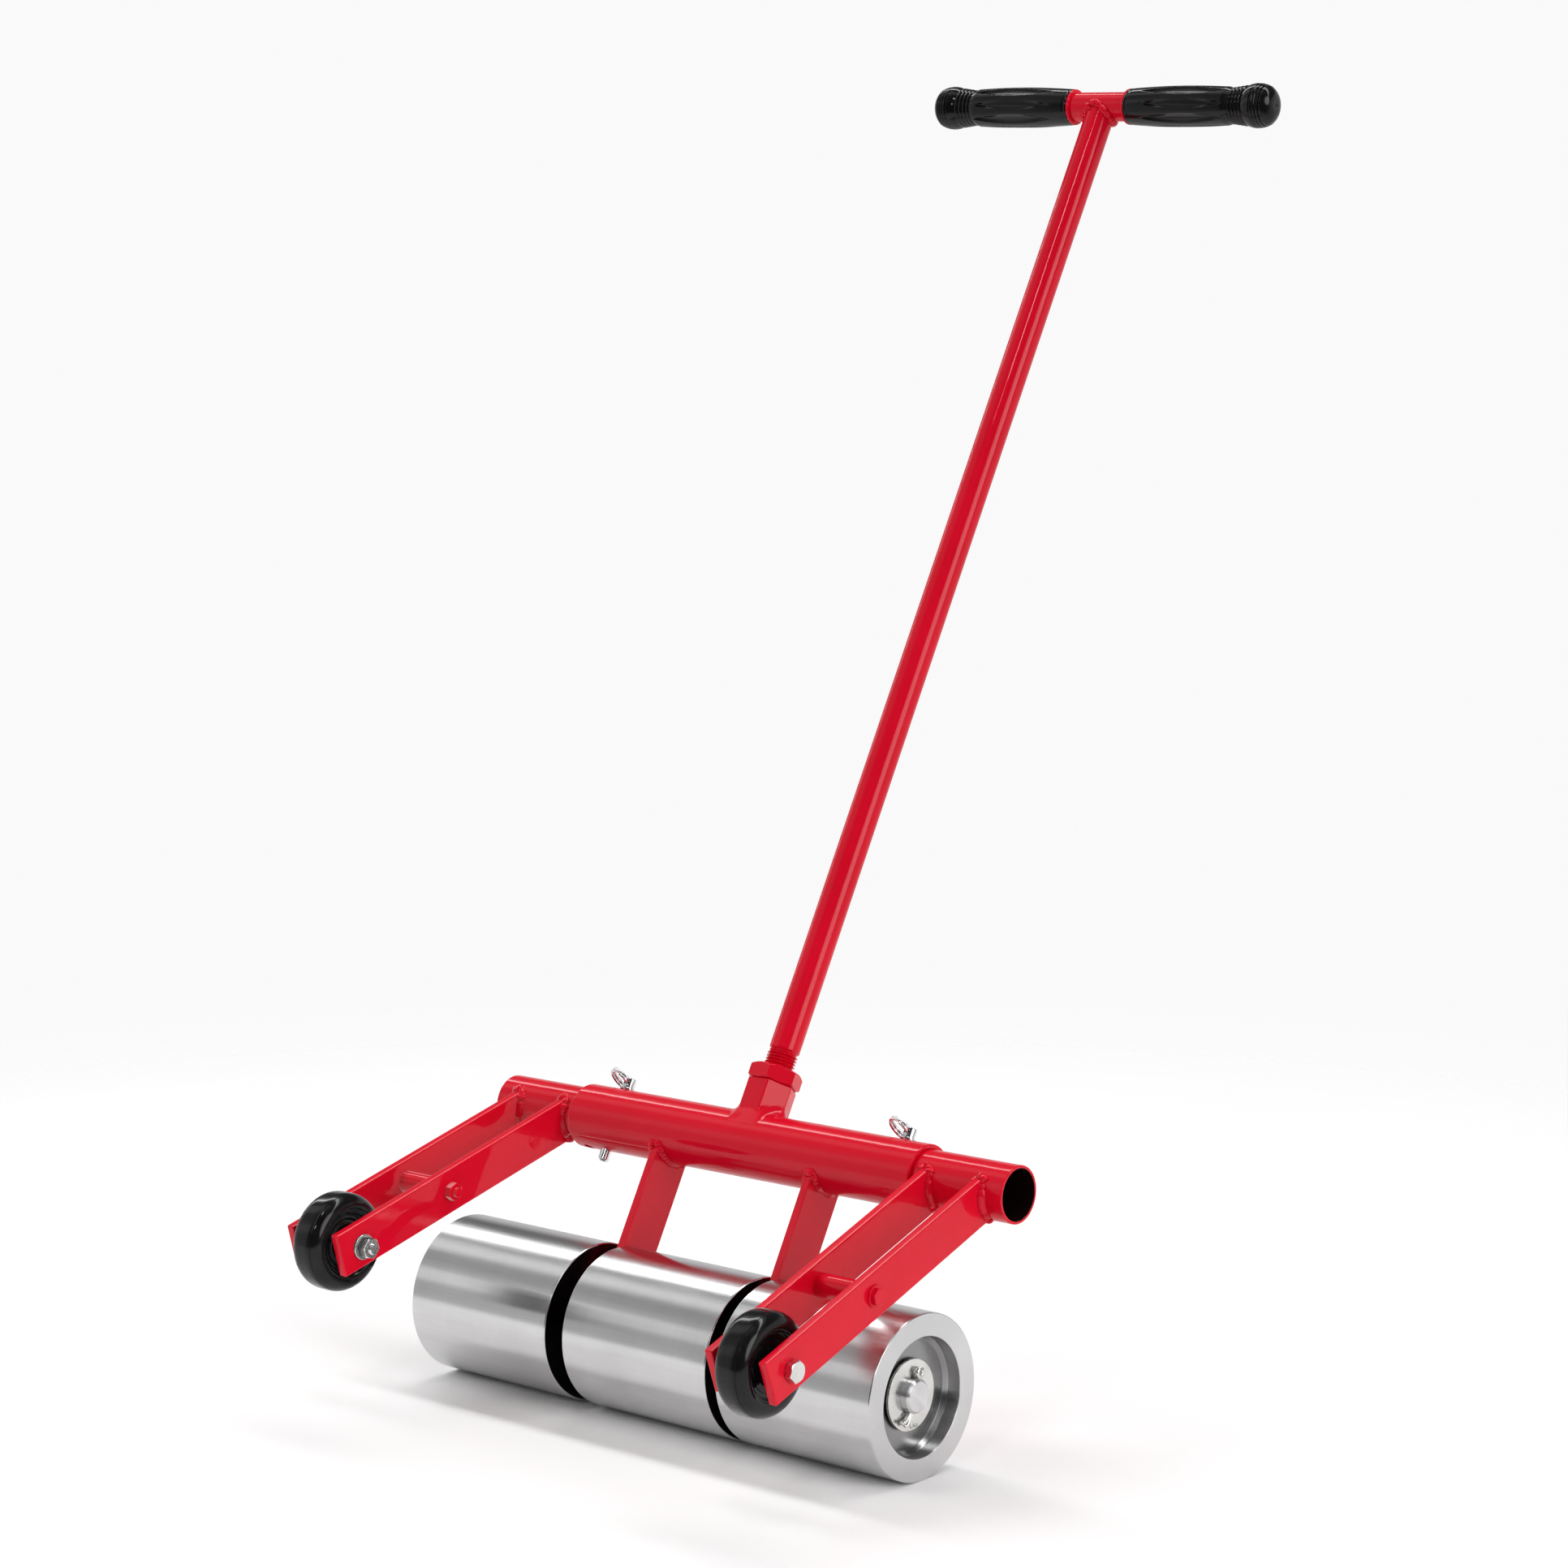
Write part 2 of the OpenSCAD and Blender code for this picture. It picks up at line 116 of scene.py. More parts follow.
ON_TUBE = axes(TUBE, ALONG, UP)
ON_AXLE = axes(AXLE, ALONG, Vector((0, 0, 1)))
BACK = UP.cross(ALONG)
BAR_AXIS = ALONG * math.cos(BAR_TURN) + BACK * math.sin(BAR_TURN)
ON_BAR = axes(middle("cross_bar"), BAR_AXIS, UP)
HANDLE_LEN = (middle("cross_bar") - TUBE).length / MM


def on_arm(side):
    """Frame of one arm: -y runs from the arm tube to the wheel."""
    wheel = Vector(JOINTS[f"wheel_{side}_spin"]["pos_m"])
    away = TUBE - wheel
    away.x = 0
    return axes(TUBE, ALONG, ALONG.cross(away))


def arm_reach(side):
    wheel = Vector(JOINTS[f"wheel_{side}_spin"]["pos_m"])
    reach = wheel - TUBE
    reach.x = 0
    return reach.length / MM


# ---- Camera, floor and light -------------------------------------------

AIM = Vector((0.0363, 0.0580, 0.4256))
AZIMUTH = math.radians(40.34)
ELEVATION = math.radians(6.76)
DISTANCE = 2.380
LENS = 82.88
BACKDROP = (0.95, 0.95, 0.95, 1)
FLOOR_R = 2.0
# Studio light over the angle from the front, over the top, to the back: (degrees, grey)
STRIPS = [
    (0, 0.66), (15, 0.62), (20, 0.70), (25, 1.0), (38, 1.0), (43, 0.62), (55, 0.45), (67, 0.38),
    (72, 0.75), (77, 1.1), (88, 0.85), (93, 0.40), (96, 0.04), (105, 0.04), (107, 0.9),
    (109, 8.0), (114, 8.0), (116.5, 0.9), (121, 0.7), (126, 0.12), (151, 0.12), (158, 0.7),
    (180, 0.8),
]
LIT = Vector((0, 0, 0.3))
CAMERA_SIDE = (0.64, -0.76, 0.12)
WINDOW_SIDE = (0.955, 0.01, 0.296)


def make_camera():
    camera = bpy.data.objects.new("camera", bpy.data.cameras.new("camera"))
    bpy.context.scene.collection.objects.link(camera)
    level = math.cos(ELEVATION)
    toward = Vector((math.sin(AZIMUTH) * level, -math.cos(AZIMUTH) * level, math.sin(ELEVATION)))
    camera.location = AIM + toward * DISTANCE
    camera.rotation_euler = (math.pi / 2 - ELEVATION, 0, AZIMUTH)
    camera.data.lens = LENS
    camera.data.sensor_width = 36
    camera.data.clip_start = 0.05
    bpy.context.scene.camera = camera


def add_node(tree, kind, inputs=None, **settings):
    """A shader node with its settings, its values and its links."""
    made = tree.nodes.new(kind)
    for key, value in settings.items():
        setattr(made, key, value)
    for key, value in (inputs or {}).items():
        if isinstance(value, bpy.types.NodeSocket):
            tree.links.new(value, made.inputs[key])
        else:
            made.inputs[key].default_value = value
    return made


def add_ramp(tree, value, stops, interpolation="LINEAR"):
    """A colour ramp over (position, grey or colour) stops."""
    ramp = add_node(tree, "ShaderNodeValToRGB", {"Fac": value})
    ramp.color_ramp.interpolation = interpolation
    elements = ramp.color_ramp.elements
    while len(elements) < len(stops):
        elements.new(1)
    for element, (position, shade) in zip(elements, stops):
        element.position = position
        colour = (shade,) * 3 if isinstance(shade, (int, float)) else shade
        element.color = (*colour, 1)
    return ramp.outputs["Color"]


def toward_side(tree, where, side, limits, values):
    """A value that eases from one of values to the other as a direction turns to a side."""
    facing = add_node(
        tree, "ShaderNodeVectorMath", {0: where, 1: side}, operation="DOT_PRODUCT"
    ).outputs["Value"]
    inputs = {
        "Value": facing, "From Min": limits[0], "From Max": limits[1],
        "To Min": values[0], "To Max": values[1],
    }
    return add_node(
        tree, "ShaderNodeMapRange", inputs, interpolation_type="SMOOTHSTEP"
    ).outputs["Result"]


def make_world():
    """A studio of long strips overhead, darker on the camera's side, with a side window.

    Reflections see the studio, and the camera itself sees a plain backdrop.
    """
    world = bpy.data.worlds.new("studio")
    bpy.context.scene.world = world
    world.use_nodes = True
    tree = world.node_tree
    tree.nodes.clear()
    where = add_node(tree, "ShaderNodeTexCoord").outputs["Generated"]
    parts = add_node(tree, "ShaderNodeSeparateXYZ", {"Vector": where})
    front = add_node(
        tree, "ShaderNodeMath", {0: parts.outputs["Y"], 1: -1}, operation="MULTIPLY"
    ).outputs[0]
    angle = add_node(
        tree, "ShaderNodeMath", {0: parts.outputs["Z"], 1: front}, operation="ARCTAN2"
    ).outputs[0]
    share = add_node(tree, "ShaderNodeMath", {0: angle, 1: math.pi}, operation="DIVIDE").outputs[0]
    light = add_ramp(tree, share, [(degrees / 180, grey) for degrees, grey in STRIPS])
    shade = toward_side(tree, where, CAMERA_SIDE, (0.15, 0.65), (1.0, 0.12))
    light = add_node(
        tree, "ShaderNodeVectorMath", {0: light, 1: shade}, operation="MULTIPLY"
    ).outputs[0]
    window = toward_side(tree, where, WINDOW_SIDE, (0.94, 0.98), (0.0, 4.0))
    light = add_node(
        tree, "ShaderNodeVectorMath", {0: light, 1: window}, operation="ADD"
    ).outputs[0]
    lit = add_node(tree, "ShaderNodeBackground", {"Color": light, "Strength": 1.0})
    seen = add_node(tree, "ShaderNodeBackground", {"Color": BACKDROP, "Strength": 1.0})
    ray = add_node(tree, "ShaderNodeLightPath").outputs["Is Camera Ray"]
    mix = add_node(
        tree, "ShaderNodeMixShader", {0: ray, 1: lit.outputs[0], 2: seen.outputs[0]}
    )
    add_node(tree, "ShaderNodeOutputWorld", {"Surface": mix.outputs[0]})


def add_softbox(name, place, width, height, power, mirrored=False):
    """A soft light aimed at the roller. Only a mirrored one shows in glossy surfaces."""
    lamp = bpy.data.lights.new(name, "AREA")
    lamp.shape = "RECTANGLE"
    lamp.size = width
    lamp.size_y = height
    lamp.energy = power
    made = bpy.data.objects.new(name, lamp)
    bpy.context.scene.collection.objects.link(made)
    made.location = place
    made.rotation_euler = (LIT - Vector(place)).to_track_quat("-Z", "Y").to_euler()
    made.visible_glossy = mirrored


def make_floor():
    """A pale disc that fades out to the backdrop."""
    work = bmesh.new()
    bmesh.ops.create_circle(work, cap_ends=True, radius=FLOOR_R, segments=96)
    mesh = bpy.data.meshes.new("floor")
    work.to_mesh(mesh)
    work.free()
    floor = bpy.data.objects.new("floor", mesh)
    bpy.context.scene.collection.objects.link(floor)
    material, tree, shader = new_material("pale_floor", Roughness=0.75)
    where = add_node(tree, "ShaderNodeTexCoord").outputs["Object"]
    cloud = add_node(tree, "ShaderNodeTexNoise", {"Vector": where, "Scale": 1.5, "Detail": 3.0})
    shade = add_ramp(tree, cloud.outputs["Fac"], [(0.3, 0.92), (0.7, 0.94)])
    tree.links.new(shade, shader.inputs["Base Color"])
    distance = add_node(tree, "ShaderNodeVectorMath", {0: where}, operation="LENGTH").outputs["Value"]
    fade = add_node(
        tree, "ShaderNodeMapRange", {"Value": distance, "From Min": 0.5, "From Max": 1.8},
        interpolation_type="SMOOTHSTEP",
    ).outputs["Result"]
    clear = add_node(tree, "ShaderNodeBsdfTransparent").outputs[0]
    mix = add_node(tree, "ShaderNodeMixShader", {0: fade, 1: shader.outputs[0], 2: clear}).outputs[0]
    tree.links.new(mix, tree.nodes["Material Output"].inputs["Surface"])
    mesh.materials.append(material)


# ---- Materials ---------------------------------------------------------

def new_material(name, **values):
    """A principled material whose plain values sit on the shader's own sockets."""
    material = bpy.data.materials.new(name)
    material.use_nodes = True
    shader = material.node_tree.nodes["Principled BSDF"]
    for key, value in values.items():
        shader.inputs[key.replace("_", " ")].default_value = value
    return material, material.node_tree, shader


def add_bump(tree, height, strength, distance, normal=None):
    inputs = {"Height": height, "Strength": strength, "Distance": distance}
    if normal is not None:
        inputs["Normal"] = normal
    return add_node(tree, "ShaderNodeBump", inputs).outputs["Normal"]


def distance_from_line(tree, where, point):
    """Place from a point, and distance from the line through it along X."""
    place = add_node(
        tree, "ShaderNodeVectorMath", {0: where, 1: point}, operation="SUBTRACT"
    ).outputs[0]
    flat = add_node(
        tree, "ShaderNodeVectorMath", {0: place, 1: (0, 1, 1)}, operation="MULTIPLY"
    ).outputs[0]
    distance = add_node(tree, "ShaderNodeVectorMath", {0: flat}, operation="LENGTH")
    return place, distance.outputs["Value"]


# Painted shade: a near-black red for the tube bores, standing in for the shade inside the tubes
PAINTED_SHADE_IN_TUBES = (0.010, 0.003, 0.003, 1)


def red_enamel():
    """Glossy red enamel with faint orange peel and a clear top coat, with painted shade: near black inside the
    tubes.
    """
    material, tree, shader = new_material(
        "red_enamel", Coat_Weight=0.5, Coat_Roughness=0.03, Coat_IOR=1.45, Specular_IOR_Level=0.03,
    )
    where = add_node(tree, "ShaderNodeTexCoord").outputs["Object"]
    cloud = add_node(tree, "ShaderNodeTexNoise", {"Vector": where, "Scale": 14.0, "Detail": 4.0})
    reds = [(0.3, (0.64, 0.002, 0.017)), (0.7, (0.71, 0.003, 0.022))]
    shade = add_ramp(tree, cloud.outputs["Fac"], reds)
    # Painted shade: within 17.1 mm of the tube's line the base colour turns near black
    depth = distance_from_line(tree, where, TUBE)[1]
    outside = add_node(
        tree, "ShaderNodeMapRange", {"Value": depth, "From Min": 0.0171, "From Max": 0.0174}
    ).outputs["Result"]
    mixed = add_node(
        tree, "ShaderNodeMix", {0: outside, 6: PAINTED_SHADE_IN_TUBES, 7: shade}, data_type="RGBA",
    ).outputs[2]
    tree.links.new(mixed, shader.inputs["Base Color"])
    rough = add_ramp(tree, cloud.outputs["Fac"], [(0.3, 0.30), (0.7, 0.40)])
    tree.links.new(rough, shader.inputs["Roughness"])
    peel = add_node(tree, "ShaderNodeTexNoise", {"Vector": where, "Scale": 260.0, "Detail": 2.0})
    grit = add_node(tree, "ShaderNodeTexNoise", {"Vector": where, "Scale": 60.0, "Detail": 1.0})
    low = add_bump(tree, grit.outputs["Fac"], 0.12, 0.0012)
    normal = add_bump(tree, peel.outputs["Fac"], 0.10, 0.0004, low)
    tree.links.new(normal, shader.inputs["Normal"])
    tree.links.new(low, shader.inputs["Coat Normal"])
    return material


def turned_steel(name, shades, roughness, line_scale, line_depth, recess_shade=1.0):
    """Bright steel turned about the axle: fine rings of cut, and faint drawn streaks.

    Painted shade: its base colour darkens to near black on the faces in the gaps between the sections, and by
    recess_shade in the end recesses, where shade falls.
    """
    material, tree, shader = new_material(
        name, Metallic=1.0, Anisotropic=0.9, Anisotropic_Rotation=0.25
    )
    where = add_node(tree, "ShaderNodeTexCoord").outputs["Object"]
    from_axle, radius = distance_from_line(tree, where, AXLE)
    parts = add_node(tree, "ShaderNodeSeparateXYZ", {"Vector": from_axle})
    rings_at = add_node(
        tree, "ShaderNodeCombineXYZ", {"X": parts.outputs["X"], "Y": radius, "Z": 0.0}
    ).outputs[0]
    rings = add_node(
        tree, "ShaderNodeTexNoise", {"Vector": rings_at, "Scale": line_scale, "Detail": 3.0}
    )
    streaks_at = add_node(
        tree, "ShaderNodeMapping", {"Vector": where, "Scale": (0.02, 1.0, 1.0)}
    ).outputs["Vector"]
    streaks = add_node(
        tree, "ShaderNodeTexNoise", {"Vector": streaks_at, "Scale": 900.0, "Detail": 2.0}
    )
    cloud = add_node(tree, "ShaderNodeTexNoise", {"Vector": where, "Scale": 18.0, "Detail": 3.0})
    mixed = add_node(
        tree, "ShaderNodeMath", {0: streaks.outputs["Fac"], 1: 0.06, 2: rings.outputs["Fac"]},
        operation="MULTIPLY_ADD",
    ).outputs[0]
    uneven = add_node(
        tree, "ShaderNodeMath", {0: streaks.outputs["Fac"], 1: rings.outputs["Fac"]}, operation="ADD",
    ).outputs[0]
    uneven = add_node(
        tree, "ShaderNodeMath", {0: uneven, 1: 0.35, 2: 0.15}, operation="MULTIPLY_ADD",
    ).outputs[0]
    uneven = add_node(
        tree, "ShaderNodeMix", {0: 0.35, 2: uneven, 3: cloud.outputs["Fac"]}, data_type="FLOAT",
    ).outputs[0]
    shade = add_ramp(tree, uneven, shades)
    # Painted shade: the base colour falls to 7% on faces in the gaps between sections, and to recess_shade in the
    # end recesses
    reach = add_node(tree, "ShaderNodeMath", {0: parts.outputs["X"]}, operation="ABSOLUTE").outputs[0]
    ends = add_node(tree, "ShaderNodeMath", {0: reach, 1: 0.1}, operation="GREATER_THAN").outputs[0]
    lip = add_node(
        tree, "ShaderNodeMapRange", {"Value": ends, "To Min": 0.0532, "To Max": 0.0389}
    ).outputs["Result"]
    shaded_zone = add_node(tree, "ShaderNodeMath", {0: radius, 1: lip}, operation="LESS_THAN").outputs[0]
    painted_shade_level = add_node(
        tree, "ShaderNodeMapRange", {"Value": ends, "To Min": 0.07, "To Max": recess_shade}
    ).outputs["Result"]
    dark = add_node(
        tree, "ShaderNodeVectorMath", {0: shade, "Scale": painted_shade_level}, operation="SCALE"
    ).outputs[0]
    mix = add_node(tree, "ShaderNodeMix", {0: shaded_zone, 6: shade, 7: dark}, data_type="RGBA").outputs[2]
    tree.links.new(mix, shader.inputs["Base Color"])
    rough = add_ramp(tree, streaks.outputs["Fac"], [(0.3, roughness - 0.01), (0.7, roughness + 0.02)])
    tree.links.new(rough, shader.inputs["Roughness"])
    tree.links.new(add_bump(tree, mixed, 0.7, line_depth), shader.inputs["Normal"])
    tangent = add_node(tree, "ShaderNodeTangent", direction_type="RADIAL", axis="X")
    tree.links.new(tangent.outputs[0], shader.inputs["Tangent"])
    return material


def plated(name, shades, roughness, scale=40.0, bump=0.08):
    """Plated hardware: cloudy bright plating over slightly uneven metal."""
    material, tree, shader = new_material(name, Metallic=1.0)
    where = add_node(tree, "ShaderNodeTexCoord").outputs["Object"]
    cloud = add_node(tree, "ShaderNodeTexNoise", {"Vector": where, "Scale": scale, "Detail": 4.0})
    fine = add_node(tree, "ShaderNodeTexNoise", {"Vector": where, "Scale": 700.0, "Detail": 2.0})
    tree.links.new(add_ramp(tree, cloud.outputs["Fac"], shades), shader.inputs["Base Color"])
    rough = add_ramp(tree, fine.outputs["Fac"], [(0.3, roughness), (0.7, roughness + 0.08)])
    tree.links.new(rough, shader.inputs["Roughness"])
    tree.links.new(add_bump(tree, fine.outputs["Fac"], bump, 0.0002), shader.inputs["Normal"])
    return material


def moulded_black(name, roughness, sheen_scale, grain):
    """Glossy black moulding: soft haze, faint flow marks and a fine skin."""
    material, tree, shader = new_material(
        name, Specular_IOR_Level=0.06, Coat_Weight=0.45, Coat_Roughness=0.04
    )
    where = add_node(tree, "ShaderNodeTexCoord").outputs["Object"]
    cloud = add_node(
        tree, "ShaderNodeTexNoise", {"Vector": where, "Scale": sheen_scale, "Detail": 5.0}
    )
    fine = add_node(tree, "ShaderNodeTexNoise", {"Vector": where, "Scale": 480.0, "Detail": 3.0})
    blacks = [(0.3, (0.0025, 0.0025, 0.003)), (0.75, (0.006, 0.006, 0.0065))]
    shade = add_ramp(tree, cloud.outputs["Fac"], blacks)
    tree.links.new(shade, shader.inputs["Base Color"])
    rough = add_ramp(tree, cloud.outputs["Fac"], [(0.35, roughness), (0.65, roughness + 0.12)])
    tree.links.new(rough, shader.inputs["Roughness"])
    tree.links.new(add_bump(tree, fine.outputs["Fac"], grain, 0.0003), shader.inputs["Normal"])
    return material


MATERIALS = {
    "painted_frame": red_enamel(),
    "roller_steel": turned_steel(
        "turned_steel", [(0.35, (0.54, 0.54, 0.55)), (0.65, (0.68, 0.68, 0.685))],
        0.21, 2200.0, 0.000006, recess_shade=0.45,
    ),
    "axle_steel": turned_steel(
        "drawn_steel", [(0.3, (0.62, 0.62, 0.63)), (0.7, (0.74, 0.74, 0.75))],
        0.30, 900.0, 0.000004,
    ),
    "bushing_bronze": plated(
        "bearing_bronze", [(0.3, (0.48, 0.30, 0.12)), (0.7, (0.62, 0.42, 0.18))], 0.30
    ),
    "zinc_hardware": plated(
        "zinc_plate", [(0.3, (0.60, 0.60, 0.58)), (0.7, (0.78, 0.78, 0.76))], 0.20
    ),
    "chrome_pins": plated(
        "chrome_plate", [(0.3, (0.62, 0.63, 0.64)), (0.7, (0.78, 0.78, 0.79))], 0.06
    ),
    "grip_rubber": moulded_black("glossy_vinyl", 0.12, 30.0, 0.04),
    "wheel_plastic": moulded_black("glossy_hard_rubber", 0.20, 60.0, 0.07),
}


# ---- Mesh building -----------------------------------------------------

SHARP = math.radians(34)
DRILL_SIDES = 40


class Shape:
    """Vertices and faces of one piece, which may hold several solids."""

    def __init__(self):
        self.verts = []
        self.faces = []

    def add(self, solid, place):
        verts, faces = solid
        first = len(self.verts)
        self.verts += [place @ Vector(v) for v in verts]
        self.faces += [[first + i for i in face] for face in faces]
        return self


def piece(name, shape, nodes, body=None, drills=(), soften=0.0):
    """Makes a shape into a piece that stands for its CAD nodes and rides with them."""
    mesh = bpy.data.meshes.new(name)
    mesh.from_pydata(shape.verts, [], shape.faces)
    made = bpy.data.objects.new(name, mesh)
    bpy.context.scene.collection.objects.link(made)
    work = bmesh.new()
    work.from_mesh(mesh)
    bmesh.ops.recalc_face_normals(work, faces=work.faces)
    work.to_mesh(mesh)
    work.free()
    for hole in drills:
        drill(made, *hole)
    mesh = made.data
    mesh.materials.clear()
    slot = SLOT_OF[nodes[0]] if nodes else "painted_frame"
    mesh.materials.append(MATERIALS[slot])
    mesh.polygons.foreach_set("use_smooth", [True] * len(mesh.polygons))
    mesh.set_sharp_from_angle(angle=SHARP)
    if soften:
        edge = made.modifiers.new("soft_edges", "BEVEL")
        edge.width = soften * MM
        edge.segments = 3
        edge.limit_method = "ANGLE"
        edge.angle_limit = SHARP
    weigh = made.modifiers.new("even_shading", "WEIGHTED_NORMAL")
    weigh.keep_sharp = True
    body = body or BODY_OF[nodes[0]]
    # The photo's left section shows plain grey bands, with no mirror image of the left arm
    made.visible_glossy = body != "arm_left"
    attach(made, body)
    if nodes:
        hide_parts(*nodes)
    return made


def drill(target, place, radius, length):
    """Cuts a round hole along the z axis of place."""
    cutter_mesh = bpy.data.meshes.new("cutter")
    rings = [circle(radius, DRILL_SIDES, height) for height in (-length / 2, length / 2)]
    shape = Shape().add(skin(rings), place)
    cutter_mesh.from_pydata(shape.verts, [], shape.faces)
    cutter = bpy.data.objects.new("cutter", cutter_mesh)
    bpy.context.scene.collection.objects.link(cutter)
    cut = target.modifiers.new("hole", "BOOLEAN")
    cut.operation = "DIFFERENCE"
    cut.solver = "EXACT"
    cut.object = cutter
    graph = bpy.context.evaluated_depsgraph_get()
    result = bpy.data.meshes.new_from_object(target.evaluated_get(graph))
    target.modifiers.remove(cut)
    target.data = result
    bpy.data.objects.remove(cutter)


def circle(radius, count, height=0.0):
    turns = [TAU * i / count for i in range(count)]
    return [(radius * math.cos(a), radius * math.sin(a), height) for a in turns]


def skin(rings, closed=False):
    """Quads between rings of equal count. Open ends get a cap."""
    count = len(rings[0])
    verts = [point for ring in rings for point in ring]
    faces = []
    for i in range(len(rings) if closed else len(rings) - 1):
        a, b = i * count, (i + 1) % len(rings) * count
        faces += [(a + k, a + (k + 1) % count, b + (k + 1) % count, b + k) for k in range(count)]
    if not closed:
        faces.append(tuple(range(count))[::-1])
        faces.append(tuple(range(len(verts) - count, len(verts))))
    return verts, faces


def eased(points, steps=4):
    """An outline whose (x, r, radius) corners are rounded."""
    made = []
    for i, point in enumerate(points):
        here = Vector(point[:2])
        if len(point) < 3:
            made.append(here)
            continue
        before = Vector(points[i - 1][:2]) - here
        after = Vector(points[(i + 1) % len(points)][:2]) - here
        cut = point[2] / math.tan(before.angle(after) / 2)
        cut = min(cut, before.length * 0.48, after.length * 0.48)
        start, end = here + before.normalized() * cut, here + after.normalized() * cut
        for k in range(steps + 1):
            t = k / steps
            made.append(start * (1 - t) ** 2 + here * (2 * t * (1 - t)) + end * t * t)
    return made


def arc(cx, cr, radius, start, end, steps):
    turns = [math.radians(start + (end - start) * i / steps) for i in range(steps + 1)]
    return [(cx + radius * math.cos(a), cr + radius * math.sin(a)) for a in turns]


def lathe(outline, count=96, closed=True, shift=None):
    """Turns an (x, r) outline about x. shift(x, r, angle) moves the surface in or out."""
    rings = []
    for x, r in outline:
        ring = []
        for k in range(count):
            a = TAU * k / count
            radius = r + (shift(x, r, a) if shift else 0)
            ring.append((x, radius * math.cos(a), radius * math.sin(a)))
        rings.append(ring)
    return skin(rings, closed)


def tube(x0, x1, outer, bore, count=96, ease=0.5, shift=None, stations=()):
    """A round tube along x with rounded rims and extra rings at the stations."""
    outer_side = [(x, outer) for x in stations]
    inner_side = [(x, bore) for x in reversed(stations)]
    outline = [
        (x0, bore, ease), (x0, outer, ease), *outer_side,
        (x1, outer, ease), (x1, bore, ease), *inner_side,
    ]
    return lathe(eased(outline), count, shift=shift)


def hex_radius(flats, angle):
    """Distance from a hexagon's middle to its edge at an angle from a corner."""
    return flats / 2 / math.cos((angle % (TAU / 6)) - TAU / 12)


def hex_block(flats, x0, x1, chamfered=(True, True), count=72):
    """A nut or bolt head along x, with a turned hexagon's chamfers at its low and high ends."""
    corner = flats / 2 / math.cos(TAU / 12)
    face = flats / 2 * 0.97
    depth = (corner - face) * math.tan(math.radians(30))
    levels = [depth * i / 6 for i in range(7)]
    stations = [x0 + h for h in levels] + [x1 - h for h in reversed(levels)]
    rings = []
    for i, x in enumerate(stations):
        low_end = i < len(levels)
        inset = (x - x0 if low_end else x1 - x) / depth
        eases = chamfered[0] if low_end else chamfered[1]
        limit = face + (corner - face) * min(1, inset) if eases else corner
        ring = []
        for k in range(count):
            a = TAU * k / count
            radius = min(hex_radius(flats, a), limit)
            ring.append((x, radius * math.cos(a), radius * math.sin(a)))
        rings.append(ring)
    return skin(rings)


def thread(x0, x1, core, crest, pitch, count=64, steps=10):
    """A helical V thread along x, fading out at both ends."""
    rings = []
    total = max(2, int((x1 - x0) / pitch * steps))
    for i in range(total + 1):
        x = x0 + (x1 - x0) * i / total
        fade = min(1, (x - x0) / pitch, (x1 - x) / pitch)
        ring = []
        for k in range(count):
            a = TAU * k / count
            turn = (x / pitch - k / count) % 1
            radius = core + (crest - core) * fade * (1 - abs(2 * turn - 1))
            ring.append((x, radius * math.cos(a), radius * math.sin(a)))
        rings.append(ring)
    return skin(rings)


def plate(outline, x0, x1, edge=0.7):
    """A flat bar: an outline in y and z, from x0 to x1, with rounded arrises."""
    work = bmesh.new()
    corners = [work.verts.new((x0, y, z)) for y, z in outline]
    face = work.faces.new(corners)
    grown = bmesh.ops.extrude_face_region(work, geom=[face])
    moved = [v for v in grown["geom"] if isinstance(v, bmesh.types.BMVert)]
    bmesh.ops.translate(work, verts=moved, vec=(x1 - x0, 0, 0))
    work.normal_update()
    sharp = [e for e in work.edges if e.calc_face_angle(0) > SHARP]
    bmesh.ops.bevel(work, geom=sharp, offset=edge, segments=3, affect="EDGES", profile=0.5)
    work.verts.index_update()
    solid = [tuple(v.co) for v in work.verts], [[v.index for v in f.verts] for f in work.faces]
    work.free()
    return solid


def sweep(path, radius, count=12, reference=Vector((0, 0, 1))):
    """A round wire along an open path."""
    rings = []
    last = len(path) - 1
    for i, point in enumerate(path):
        before = path[max(i - 1, 0)]
        after = path[min(i + 1, last)]
        run = (after - before).normalized()
        side = run.cross(reference).normalized()
        other = side.cross(run)
        r = radius(i / last) if callable(radius) else radius
        turns = [TAU * k / count for k in range(count)]
        rings.append([
            tuple(point + side * (r * math.cos(a)) + other * (r * math.sin(a))) for a in turns
        ])
    return skin(rings)


def bead(path, middle_point, radius, seed, ripple=3.0, count=12):
    """A closed weld bead: overlapping ripples, a little uneven, round a joint."""
    rings = []
    travelled = 0.0
    lengths = [(path[i] - path[i - 1]).length for i in range(len(path))]
    whole = sum(lengths)
    ripples = round(whole / ripple)
    for i, point in enumerate(path):
        travelled += lengths[i]
        run = (path[(i + 1) % len(path)] - path[i - 1]).normalized()
        out = point - middle_point
        side = (out - run * out.dot(run)).normalized()
        other = run.cross(side)
        lump = noise.noise(point * 0.33 + Vector((seed, 0, 0)))
        wander = noise.noise(point * 0.09 + Vector((0, seed, 0)))
        ring = []
        for k in range(count):
            a = TAU * k / count
            phase = travelled / whole * ripples + 0.22 * math.cos(a)
            scallop = abs(math.sin(math.pi * phase)) ** 0.5
            r = radius * (0.72 + 0.34 * scallop + 0.55 * lump)
            ring.append(
                tuple(point + side * (r * math.cos(a) + wander) + other * (r * math.sin(a)))
            )
        rings.append(ring)
    return skin(rings, closed=True)


